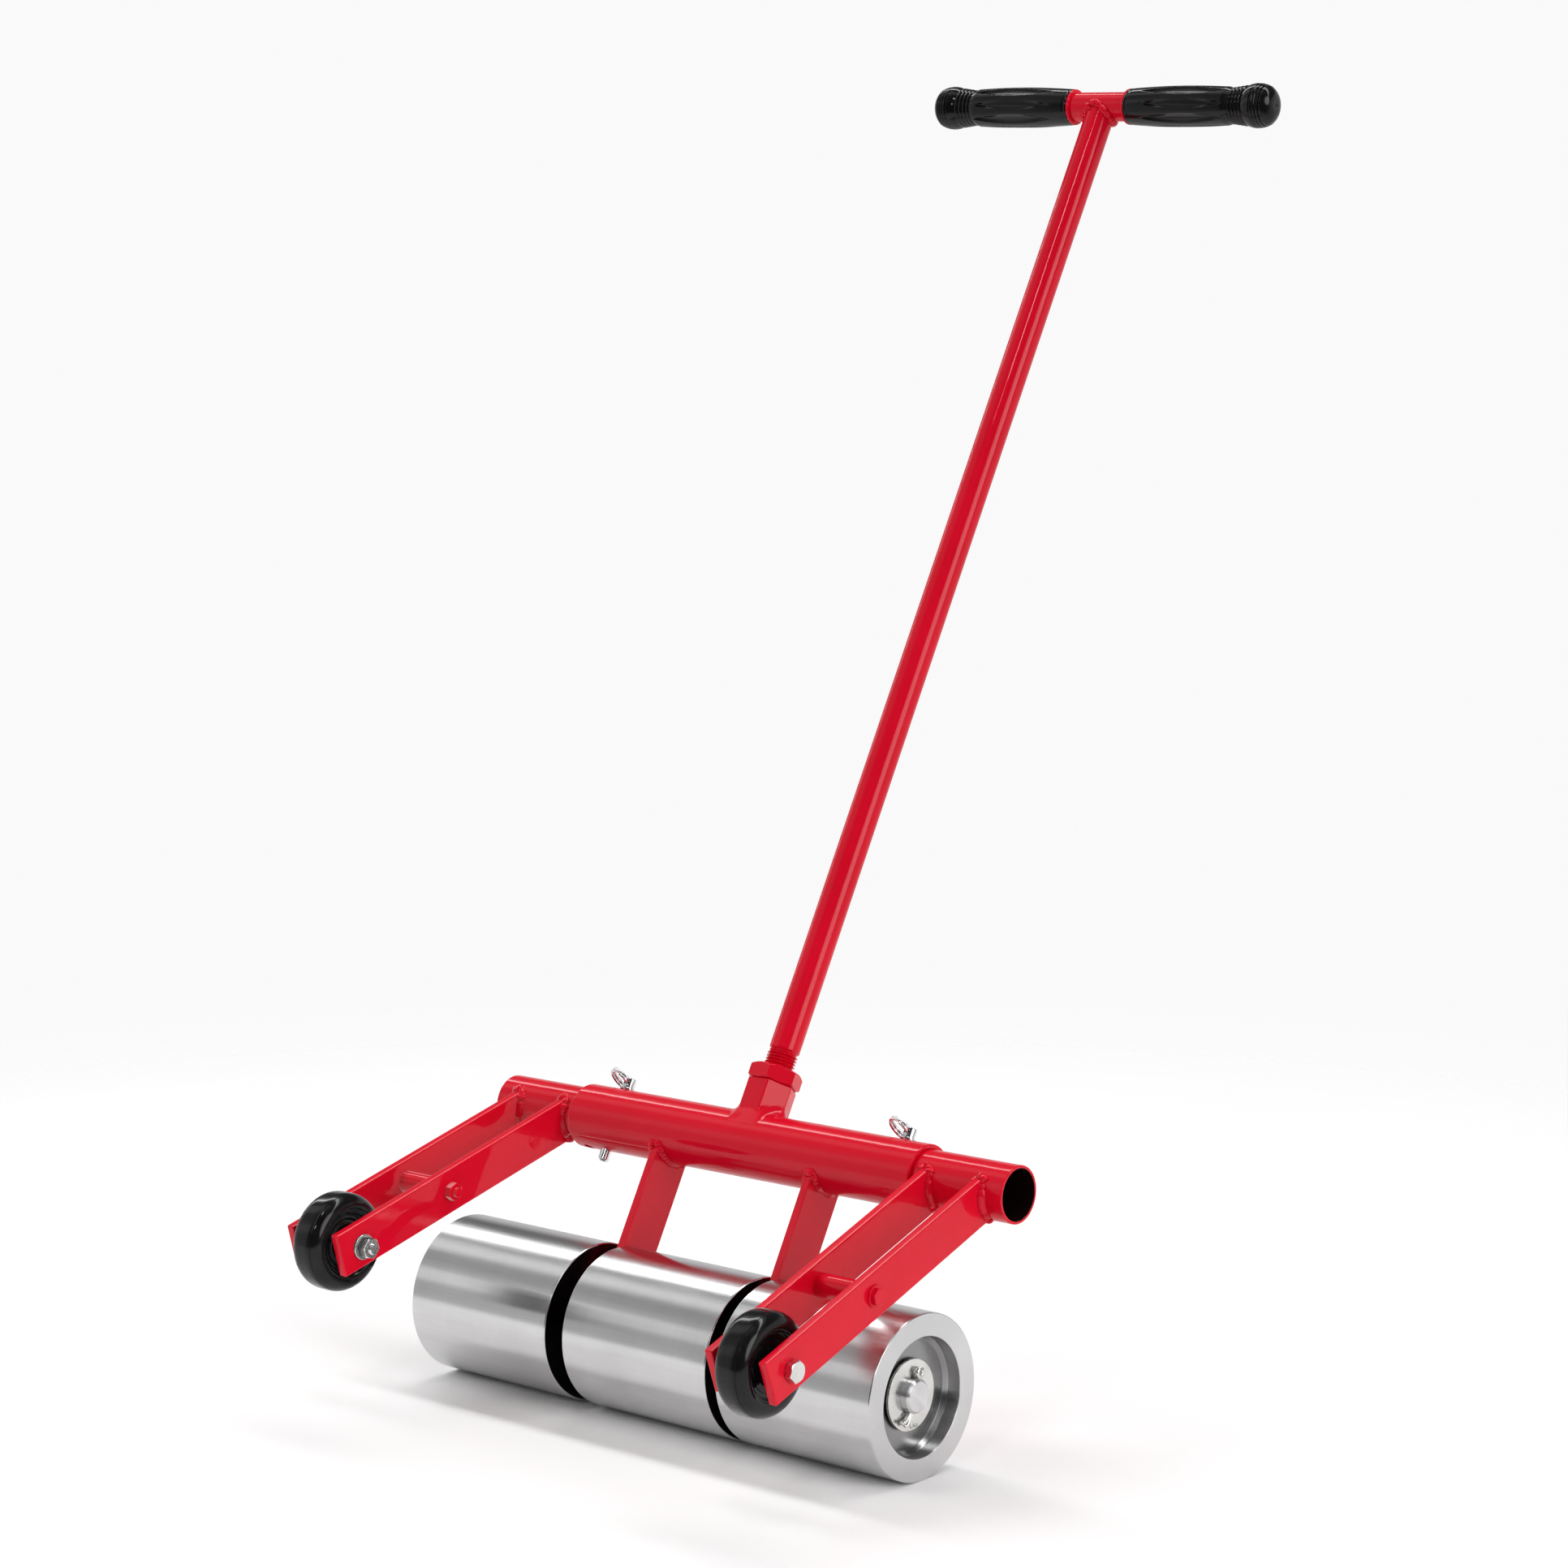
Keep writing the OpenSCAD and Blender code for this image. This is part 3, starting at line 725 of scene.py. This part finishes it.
def rounded_loop(half_x, half_y, corner, count):
    """Points round a rectangle whose corners are round by the share called corner."""
    power = 2 / (2 + 6 * (1 - corner))
    made = []
    for i in range(count):
        a = TAU * i / count
        c, s = math.cos(a), math.sin(a)
        across = math.copysign(abs(c) ** power, c)
        along = math.copysign(abs(s) ** power, s)
        made.append((across * half_x, along * half_y))
    return made


# ---- Rollers and axle --------------------------------------------------

ROLLER_R = 54
ROLLER_BORE = 14.3
RECESS_R = 39
AXLE_R = 11.1

def make_rollers():
    """Three turned sections; the outer two are dished at their far ends."""
    for name, sign in (("left", -1), ("right", 1), ("middle", 0)):
        low, high = span(f"roller_{name}")
        inner, outer = (-high, -low) if sign < 0 else (low, high)
        plain = [(inner, ROLLER_BORE), (inner, ROLLER_R, 0.9), (outer, ROLLER_R, 0.9)]
        dished = [
            (outer, RECESS_R, 0.5), (outer - 9.8, RECESS_R, 0.5),
            (outer - 12.4, RECESS_R - 2.6, 0.4), (outer - 12.4, ROLLER_BORE),
        ]
        outline = plain + (dished if sign else [(outer, ROLLER_BORE)])
        if sign < 0:
            outline = [(-p[0], *p[1:]) for p in outline]
        shape = Shape().add(lathe(eased(outline, 5), 256), ON_AXLE)
        piece(f"turned_roller_{name}", shape, [f"roller_{name}"])


def cotter_paths(x, sign):
    """The bent wires of one split pin: an eye above, two legs curled apart below."""
    tilt = math.radians(20)
    down = Vector((0, -math.sin(tilt), -math.cos(tilt)))
    across = Vector((0, math.cos(tilt), -math.sin(tilt)))
    out = Vector((sign, 0, 0))
    start = Vector((x, 0, 0))
    eye = []
    for i in range(25):
        a = math.radians(-240 + 300 * i / 24)
        eye.append(start - down * (14.9 + 2.7 * math.sin(a)) + across * 2.5 * math.cos(a))
    legs = []
    for side, reach, lift in ((-1, 8.2, 0.4), (1, 7.6, 0.9), (-0.42, 9.4, 0.8), (0.5, 9.0, 0.5)):
        leg = []
        for i in range(16):
            t = i / 15
            along = 10.2 + reach * math.sin(t * 1.9)
            spread = side * (0.8 + 7.2 * t ** 1.15)
            leg.append(start + down * along + across * spread + out * (lift * math.sin(math.pi * t)))
        legs.append(leg)
    shank = [start - down * 12.2, start, start + down * 11.6]
    return eye, legs, shank


def make_axle_ends():
    """The axle, with an end washer and a split pin at each end."""
    washers, pins = Shape(), Shape()
    low, high = span("axle_end_washers")
    for sign, outer in ((1, high), (-1, -low)):
        outline = [
            (outer - 2, 11.2), (outer - 2, 23.3, 0.4), (outer, 23.3, 0.5), (outer, 11.2, 0.3),
        ]
        outline = [(sign * p[0], *p[1:]) for p in outline]
        washers.add(lathe(eased(outline, 4), 96), ON_AXLE)
        eye, legs, shank = cotter_paths(sign * (outer + 2.4), sign)
        reference = Vector((1, 0, 0))
        pins.add(sweep(shank, 1.45, 16, reference=reference), ON_AXLE)
        pins.add(sweep(eye, 1.5, 12, reference=reference), ON_AXLE)
        for leg in legs:
            pins.add(sweep(leg, lambda t: 1.35 - 0.25 * t, 12, reference=reference), ON_AXLE)
    piece("end_washers", washers, ["axle_end_washers"])
    piece("split_pins", pins, ["cotter_pins"])
    low, high = span("axle")
    end = [(0, 0.4), (0, 9.6), (0.25, 9.95), (1.1, 10.8), (1.5, AXLE_R)]
    outline = [(low + x, r) for x, r in end] + [(high - x, r) for x, r in reversed(end)]
    piece("axle_bar", Shape().add(lathe(outline, 96, closed=False), ON_AXLE), ["axle"])


# ---- Welded frame ------------------------------------------------------

def make_frame():
    """The centre tube with its pin holes, and the two uprights."""
    stations = [s * x for s in (-1, 1) for x in (PIN_X - 6, PIN_X + 8, SPARE_HOLE_X + 6)]
    shape = Shape().add(
        tube(-TUBE_HALF, TUBE_HALF, TUBE_R, TUBE_BORE, 128, 0.8, stations=sorted(stations)),
        ON_TUBE,
    )
    holes = [
        (ON_TUBE @ Matrix.Translation((sign * x, 0, 0)), PIN_HOLE_R, 90)
        for sign in (-1, 1) for x in (PIN_X, SPARE_HOLE_X)
    ]
    piece("main_tube", shape, ["centre_tube"], drills=holes, soften=0.35)
    for side, sign in SIDES.items():
        make_upright(side, sign)


def make_upright(side, sign):
    """A flat bar from the axle up to the tube, round at its foot and coped at its top."""
    drop = (AXLE - TUBE).dot(UP) / MM
    half = UPRIGHT_W / 2
    x = sign * UPRIGHT_X
    turns = [-math.pi * i / 24 for i in range(25)]
    foot = [(half * math.cos(a), drop + half * math.sin(a)) for a in turns]
    cope_r = TUBE_R - 1.2
    across = [-half + UPRIGHT_W * i / 16 for i in range(17)]
    top = [(y, -math.sqrt(cope_r ** 2 - y ** 2)) for y in across]
    bar = plate(foot + top, x - UPRIGHT_T / 2, x + UPRIGHT_T / 2, 0.8)
    shape = Shape().add(bar, ON_TUBE)
    piece(f"flat_upright_{side}", shape, [f"upright_{side}"])
    loop = rounded_loop(UPRIGHT_T / 2 - 0.3, half - 0.6, 0.1, 260)
    path = [Vector((x + u, v, -math.sqrt(TUBE_R ** 2 - v * v) + 0.5)) for u, v in loop]
    weld = Shape().add(bead(path, Vector((x, 0, -14)), 3.3, 3 + sign, 3.6), ON_TUBE)
    piece(f"upright_weld_{side}", weld, [], body="frame")


SOCKET_FLATS = 31
# The weld's reach across the tube, short of where the tube's side drops away
FLARE_Y = 20.4


def fillet(flats, turn, height):
    """The smooth weld that flares from the hexagonal socket onto the tube."""
    rings = []
    for j in range(9):
        t = j / 8 * math.pi / 2
        flare = height * (1 - math.cos(t))
        ring = []
        for k in range(96):
            a = TAU * k / 96
            around = Vector((math.cos(a), math.sin(a), 0))
            room = FLARE_Y / max(abs(math.sin(a)), 0.1)
            lumpy = 1 + 0.22 * noise.noise(around * 3.0 + Vector((0, 0, j * 0.15)))
            foot = min(hex_radius(flats, a - turn), flats * 0.56)
            reach = min(foot + flare * lumpy, room)
            y = reach * math.sin(a)
            rise = height * lumpy * (1 - math.sin(t))
            z = math.sqrt(max(TUBE_R ** 2 - y * y, 4)) + rise - 0.3
            ring.append((reach * math.cos(a), y, z))
        rings.append(ring)
    inside = [(x * 0.8, y * 0.8, z - 3) for x, y, z in rings[-1]]
    top = [(x * 0.9, y * 0.9, z) for x, y, z in rings[0]]
    return skin([top, *rings, inside])


def hex_column(flats, turn, z0, z1, edge):
    """A hexagonal block up the handle with rounded corners and arrises."""
    corner = flats / 2 / math.cos(TAU / 12)
    turns = [turn + TAU * i / 6 for i in range(6)]
    points = [(corner * math.cos(a), corner * math.sin(a)) for a in turns]
    return plate(points, z0, z1, edge)


def up_handle():
    """Frame whose x runs up the handle from the tube's middle."""
    return axes(TUBE, UP, ALONG)


def make_handle():
    """The socket, the jam nut, the threaded pipe and the cross bar."""
    place = up_handle()
    top = span_up("handle_socket")
    turn = math.radians(SOCKET_TURN)
    block = hex_column(SOCKET_FLATS, turn + math.pi / 2, 14, top, 0.9)
    shape = Shape().add(block, place)
    shape.add(fillet(SOCKET_FLATS, turn, 8.0), ON_TUBE)
    piece("hex_socket", shape, ["handle_socket"])
    nut_low = top + 0.1
    nut_high = nut_low + NUT_T
    nut_turn = Matrix.Rotation(math.radians(NUT_TURN + 90), 4, "X")
    nut = Shape().add(hex_block(32.5, nut_low, nut_high), place @ nut_turn)
    piece("lock_nut", nut, ["jam_nut"])
    thread_end = nut_high + 13.4
    shape = Shape().add(thread(top - 6, thread_end, 8.7, 10.6, 2.2), place)
    collar = [(thread_end - 1.2, 8.8), (thread_end + 0.6, PIPE_R), (HANDLE_LEN - 1, PIPE_R)]
    shape.add(lathe(collar, 96, closed=False), place)
    piece("threaded_pipe", shape, ["handle_pipe"])
    make_bar()


def span_up(node):
    """How far a node reaches up the handle past the tube's middle, in millimetres."""
    mesh = frame["nodes"][node].data
    return max((v.co - TUBE).dot(UP) for v in mesh.vertices) / MM


def make_bar():
    """The T's cross bar with its stop rings, its weld and its grips."""
    bar = tube(-CROSS_BAR_HALF, CROSS_BAR_HALF, PIPE_R, PIPE_BORE, 96)
    piece("handle_bar", Shape().add(bar, ON_BAR), ["cross_bar"])
    rings = Shape()
    for sign in (-1, 1):
        rim = [(22.5, 10.5), (22.5, 12.9, 0.9), (24.5, 13.2, 0.7), (24.5, 10.5)]
        rings.add(lathe(eased([(sign * p[0], *p[1:]) for p in rim]), 96), ON_BAR)
    piece("stop_rings", rings, ["grip_stop_rings"])
    path = []
    for i in range(200):
        a = TAU * i / 200
        x, y = (PIPE_R + 0.3) * math.cos(a), PIPE_R * 0.97 * math.sin(a)
        path.append(Vector((x, y, -math.sqrt(PIPE_R ** 2 - y * y) - 0.5)))
    weld = Shape().add(bead(path, Vector((0, 0, -6)), 3.0, 9, ripple=3.2), ON_BAR)
    piece("t_joint_weld", weld, [], body="frame")
    for side, sign in SIDES.items():
        make_grip(side, sign)


GRIP_START = 24.5
GRIP_LEN = 120.5
FLUTES = 8
# One rib of the neck and one of the bulb: (distance from its start, height from its crest)
NECK_RIB = [(0, -0.55), (0.5, -0.1), (1.1, 0.25), (1.8, 0.2), (2.4, -0.2), (2.7, -0.5)]
BULB_RIB = [(0, -0.5), (0.5, -0.05), (1.2, 0), (1.8, -0.15)]


def flute_depth(x, _, angle):
    """Eight long lens-shaped hollows round the barrel of a grip."""
    along = (abs(x) - GRIP_START - 14) / 70
    if not 0 < along < 1:
        return 0
    half_width = 0.30 * math.sin(math.pi * along) ** 0.8
    off = (angle * FLUTES / TAU) % 1 - 0.5
    share = abs(off) * TAU / FLUTES / max(half_width, 1e-3)
    if share >= 1:
        return 0
    return -1.9 * (1 - share ** 2) * min(1, 3 * math.sin(math.pi * along))


def grip_outline():
    """A grip from its collar to its tip: barrel, neck ribs, ribbed bulb and dome."""
    barrel = [
        (0.0, 10.7), (0.0, 12.7), (0.35, 13.0), (1.2, 13.25), (1.8, 13.05), (2.6, 13.05),
        (3.2, 13.35), (4.5, 13.45), (10, 13.8),
    ]
    steps = [1.25 * i for i in range(1, 59)]
    swell = [(10 + x, 13.8 + 1.15 * math.sin(math.pi * x / 74)) for x in steps]
    neck = []
    for i in range(4):
        start = 86.5 + i * 3.1
        crest = 13.05 + 0.42 * i
        neck += [(start + x, crest + r) for x, r in NECK_RIB]
    bulb = [(99.4, 14.3), (101.2, 15.2), (103.4, 15.75), (105.6, 15.97)]
    for i in range(4):
        start = 106.2 + i * 2.3
        crest = 15.95 - 0.06 * i - 0.17 * i * i
        bulb += [(start + x, crest + r) for x, r in BULB_RIB]
    dome = arc(GRIP_LEN - 12.4, 3.6, 12.4, 60, 4, 12)
    tip = [(GRIP_LEN, 3.0), (GRIP_LEN, 1.4), (GRIP_LEN - 0.5, 0.9), (GRIP_LEN - 0.5, 0.2)]
    return barrel + swell + neck + bulb + dome[1:] + tip


def make_grip(side, sign):
    outline = [(sign * (GRIP_START + x), r) for x, r in grip_outline()]
    shape = Shape().add(lathe(outline, 224, closed=False, shift=flute_depth), ON_BAR)
    piece(f"fluted_grip_{side}", shape, [f"grip_{side}"])


# ---- Wheel arms --------------------------------------------------------

def seam(_, r, angle):
    """The weld seam inside an arm tube, a low ridge along its bore."""
    if r > ARM_TUBE_R - 1:
        return 0
    off = (angle - math.radians(-62) + math.pi) % TAU - math.pi
    return -0.55 * math.exp(-((off / 0.035) ** 2))


def make_arm(side, sign):
    """One wheel arm. Its pin holes stand in the middle of the arm's play."""
    turn = math.radians(sign * ARM_PLAY / 2)
    ends = sorted((sign * ARM_TUBE_IN, sign * ARM_TUBE_OUT))
    stations = sorted(sign * x for x in (PIN_X - 7, PIN_X + 8, SPARE_HOLE_X + 7))
    shape = Shape().add(
        tube(*ends, ARM_TUBE_R, ARM_TUBE_BORE, 144, 0.7, seam, stations), ON_TUBE
    )
    turned = ON_TUBE @ Matrix.Rotation(turn, 4, "X")
    holes = [
        (turned @ Matrix.Translation((sign * x, 0, 0)), ARM_PIN_HOLE_R, 90)
        for x in (PIN_X, SPARE_HOLE_X)
    ]
    piece(f"arm_pipe_{side}", shape, [f"arm_tube_{side}"], drills=holes, soften=0.25)
    for which in ("inner", "outer"):
        make_arm_bar(side, sign, which)
    make_spacer(side, sign)
    make_wheel(side, sign)


def make_arm_bar(side, sign, which):
    place = on_arm(side)
    node = f"arm_{which}_bar_{side}"
    low, high = span(node)
    top, bottom = BAR_LIFT + BAR_H / 2, BAR_LIFT - BAR_H / 2
    end = -arm_reach(side) - BAR_PAST_WHEEL
    cope_r = ARM_TUBE_R - 0.9
    cope = [bottom + BAR_H * i / 14 for i in range(15)]
    coped = [(-math.sqrt(cope_r ** 2 - z * z), z) for z in cope]
    bar = plate([(end, bottom), *coped, (end, top)], low, high, 1.1)
    piece(f"flat_{which}_bar_{side}", Shape().add(bar, place), [node])
    x = (low + high) / 2
    loop = rounded_loop(BAR_T / 2 - 0.3, BAR_H / 2 - 0.8, 0.1, 260)
    path = []
    for u, v in loop:
        z = v + BAR_LIFT
        path.append(Vector((x + u, -math.sqrt(ARM_TUBE_R ** 2 - z * z) + 0.5, z)))
    seed = 11 + 5 * sign + low * 0.01
    weld = Shape().add(bead(path, Vector((x, -8, BAR_LIFT)), 3.5, seed, 3.8), place)
    piece(f"{which}_bar_weld_{side}", weld, [], body=f"arm_{side}")


def fork(side):
    """The four faces of the two flat bars along x, in rising order."""
    inner = span(f"arm_inner_bar_{side}")
    outer = span(f"arm_outer_bar_{side}")
    return sorted([*inner, *outer])


def make_spacer(side, sign):
    """The sleeve, bolt and nut that hold the fork open."""
    place = on_arm(side) @ Matrix.Translation((0, -SPACER_OUT, BAR_LIFT))
    x = fork(side)
    sleeve = Shape().add(tube(x[1], x[2], 7.5, 3.3, 64, 0.3), place)
    piece(f"spacer_sleeve_{side}", sleeve, [f"spacer_tube_{side}"])
    head, tail = (x[3], x[0]) if sign > 0 else (x[0], x[3])
    bolt = Shape()
    low, high = span(f"spacer_bolt_{side}")
    shank_end = high - 1 if sign > 0 else high
    shank = [(low, 0.3), (low, 3.2, 0.6), (shank_end, 3.2, 0.3), (shank_end, 0.3)]
    bolt.add(lathe(eased(shank), 48, closed=False), place)
    near, far = sorted((head, head + sign * 1.5))
    washer = [(near, 0.4), (near, 7.25, 0.4), (far, 7.25, 0.6), (far, 0.4)]
    bolt.add(lathe(eased(washer), 64, closed=False), place)
    block = sorted((head + sign * 1.2, head + sign * 4.6))
    bolt.add(hex_block(10.5, *block), place @ Matrix.Rotation(0.4, 4, "X"))
    piece(f"spacer_screw_{side}", bolt, [f"spacer_bolt_{side}"])
    nut_span = sorted((tail, tail - sign * 5.2))
    nut = Shape().add(hex_block(11, *nut_span), place @ Matrix.Rotation(0.15, 4, "X"))
    piece(f"spacer_lock_nut_{side}", nut, [f"spacer_nut_{side}"])


def wheel_half():
    """The stepped side of the wheel, from its bore out to the tyre."""
    return [
        (15.0, 7.1), (15.0, 10.2), (14.8, 10.7), (14.2, 11.4), (13.2, 11.8), (9.2, 12.6),
        (8.5, 13.0), (8.2, 13.8), (8.1, 15.3), (8.5, 15.6), (8.6, 16.6), (8.2, 16.9),
        (8.0, 18.9), (8.3, 19.5), (9.6, 20.1), (10.6, 20.6), (11.0, 21.0), (11.0, 21.9),
        (11.9, 22.3), (12.35, 23.0), (12.5, 24.0),
    ]


def tyre_side():
    """The rounded shoulder from the side wall to the tread, with a mould line."""
    shoulder = arc(3.5, 24.0, 9.0, 4, 62, 10)
    line = [(7.55, 32.0), (7.4, 31.85), (7.2, 31.85), (7.05, 32.25)]
    crown = [(6.2, 32.6), (5.0, 32.85), (3.5, 32.97), (1.5, 33.0), (0.3, 33.0)]
    return shoulder + line + crown


def make_wheel(side, sign):
    """A wheel with its bushing and washers, on a bolt with its head on the outer side."""
    centre = Vector(JOINTS[f"wheel_{side}_spin"]["pos_m"])
    place = axes(centre, ALONG, Vector((0, 0, 1)))
    half = wheel_half() + tyre_side()
    outline = half + [(-x, r) for x, r in reversed(half)]
    piece(f"moulded_wheel_{side}", Shape().add(lathe(outline, 128), place), [f"wheel_{side}"])
    sleeve = tube(-15.6, 15.6, 7.0, 4.05, 64, 0.5)
    piece(f"hub_sleeve_{side}", Shape().add(sleeve, place), [f"wheel_bushing_{side}"])
    x = [value - centre.x / MM for value in fork(side)]
    washers = Shape()
    for low, high in ((x[1] + 0.02, x[1] + 2), (x[2] - 2, x[2] - 0.02)):
        washers.add(tube(low, high, 10, 4.1, 64, 0.35), place)
    piece(f"hub_washers_{side}", washers, [f"wheel_washers_{side}"])
    head, tail = (x[3], x[0]) if sign > 0 else (x[0], x[3])
    bolt = Shape()
    near, far = sorted((head, head + sign * 0.7))
    collar = [(near, 0.4), (near, 6.1), (far, 6.1), (far, 0.4)]
    bolt.add(lathe(eased(collar), 64, closed=False), place)
    block = sorted((head + sign * 0.6, head + sign * 5.3))
    tilt = Matrix.Rotation(0.28, 4, "X")
    bolt.add(hex_block(12.7, *block, chamfered=(sign < 0, sign > 0)), place @ tilt)
    near, far = sorted((tail + sign * 1, head))
    bolt.add(lathe([(near, 3.95), (far, 3.95)], 48, closed=False), place)
    end = sorted((tail - sign * 11.6, tail + sign * 2))
    bolt.add(thread(*end, 3.35, 3.95, 1.25, 48, 8), place)
    piece(f"wheel_screw_{side}", bolt, [f"wheel_bolt_{side}"])
    nut = Shape()
    washer = sorted((tail, tail - sign * 1.6))
    nut.add(tube(*washer, 8.5, 4.0, 64, 0.4), place)
    block = sorted((tail - sign * 1.7, tail - sign * 8.6))
    nut.add(hex_block(12.7, *block), place @ Matrix.Rotation(-0.2, 4, "X"))
    piece(f"wheel_lock_nut_{side}", nut, [f"wheel_nut_{side}"])


# ---- Release pins ------------------------------------------------------

def make_pin(side):
    """A release pin about its ring hole, and its pull ring."""
    hole = Vector(JOINTS[f"ring_{side}_swivel"]["pos_m"])
    place = axes(hole, UP, ALONG)
    top = 3.6
    tip = span_down(f"release_pin_{side}", hole)
    outline = [
        (tip, 0.4), (tip, 2.2), (tip + 0.3, 2.7), (tip + 1.4, 3.8), (tip + 1.9, 4.0),
        (-6.1, 4.0), (-5.4, 3.7), (-4.9, 3.7), (-4.9, 5.2), (-4.6, 5.5), (-3.8, 5.5),
        (-3.5, 5.2), (-3.4, 4.3), (top - 0.9, 4.3), (top - 0.3, 4.0), (top, 3.3), (top, 0.4),
    ]
    eye = axes(hole, ALONG, BACK)
    shape = Shape().add(lathe(outline, 64, closed=False), place)
    eye_hole = (eye, 2.4, 30)
    piece(f"steel_pin_{side}", shape, [f"release_pin_{side}"], drills=[eye_hole], soften=0.2)
    make_ring(side, hole)


def span_down(node, origin):
    """How far down the pin's own line a node reaches from an origin, in millimetres."""
    mesh = frame["nodes"][node].data
    return min((v.co - origin).dot(UP) for v in mesh.vertices) / MM


RING_RISE = 15
RING_ROLL = 25
RING_R = 8.8
RING_WIRE_R = 1.1
RING_OUT = 8.32
RING_TURNS = 1.92
RING_STEPS = 150


def make_ring(side, hole):
    """A split ring of two close coils of spring wire, lying over towards -x."""
    rise, roll = math.radians(RING_RISE), math.radians(RING_ROLL)
    lean_dir = -ALONG * math.cos(rise) + UP * math.sin(rise)
    square_dir = ALONG * math.sin(rise) + UP * math.cos(rise)
    flat_dir = square_dir * math.cos(roll) + BACK * math.sin(roll)
    place = axes(hole + lean_dir * RING_OUT * MM, lean_dir, flat_dir)
    path = []
    for i in range(RING_STEPS + 1):
        t = i / RING_STEPS
        a = math.pi * 0.6 + t * RING_TURNS * TAU
        level = -1.02 + 2.04 * min(1, max(0, (t - 0.42) / 0.16))
        path.append(Vector((RING_R * math.cos(a), RING_R * math.sin(a), level)))
    wire = sweep(path, RING_WIRE_R, 16)
    piece(f"split_ring_{side}", Shape().add(wire, place), [f"pull_ring_{side}"])


# ---- Build -------------------------------------------------------------

def dress_plain_nodes():
    """CAD nodes whose shape is right stay, with a better material."""
    for name, node in frame["nodes"].items():
        if not node.hide_render:
            for slot in node.material_slots:
                slot.material = MATERIALS[SLOT_OF[name]]


make_camera()
make_world()
make_floor()
add_softbox("key_softbox", (-1.4, -2.2, 2.6), 1.2, 1.6, 32)
add_softbox("side_softbox", (2.6, -0.6, 1.6), 0.9, 1.2, 10)
add_softbox("back_softbox", (-0.6, 2.6, 2.2), 1.4, 1.2, 12)
add_softbox("low_window", (0.9, -2.6, 2.0), 0.28, 0.40, 5, mirrored=True)
add_softbox("high_window", (0.7, -1.2, 3.0), 0.30, 0.45, 5, mirrored=True)

make_rollers()
make_axle_ends()
make_frame()
make_handle()
for side, sign in SIDES.items():
    make_arm(side, sign)
    make_pin(side)
dress_plain_nodes()

bpy.context.scene.view_settings.view_transform = "Standard"
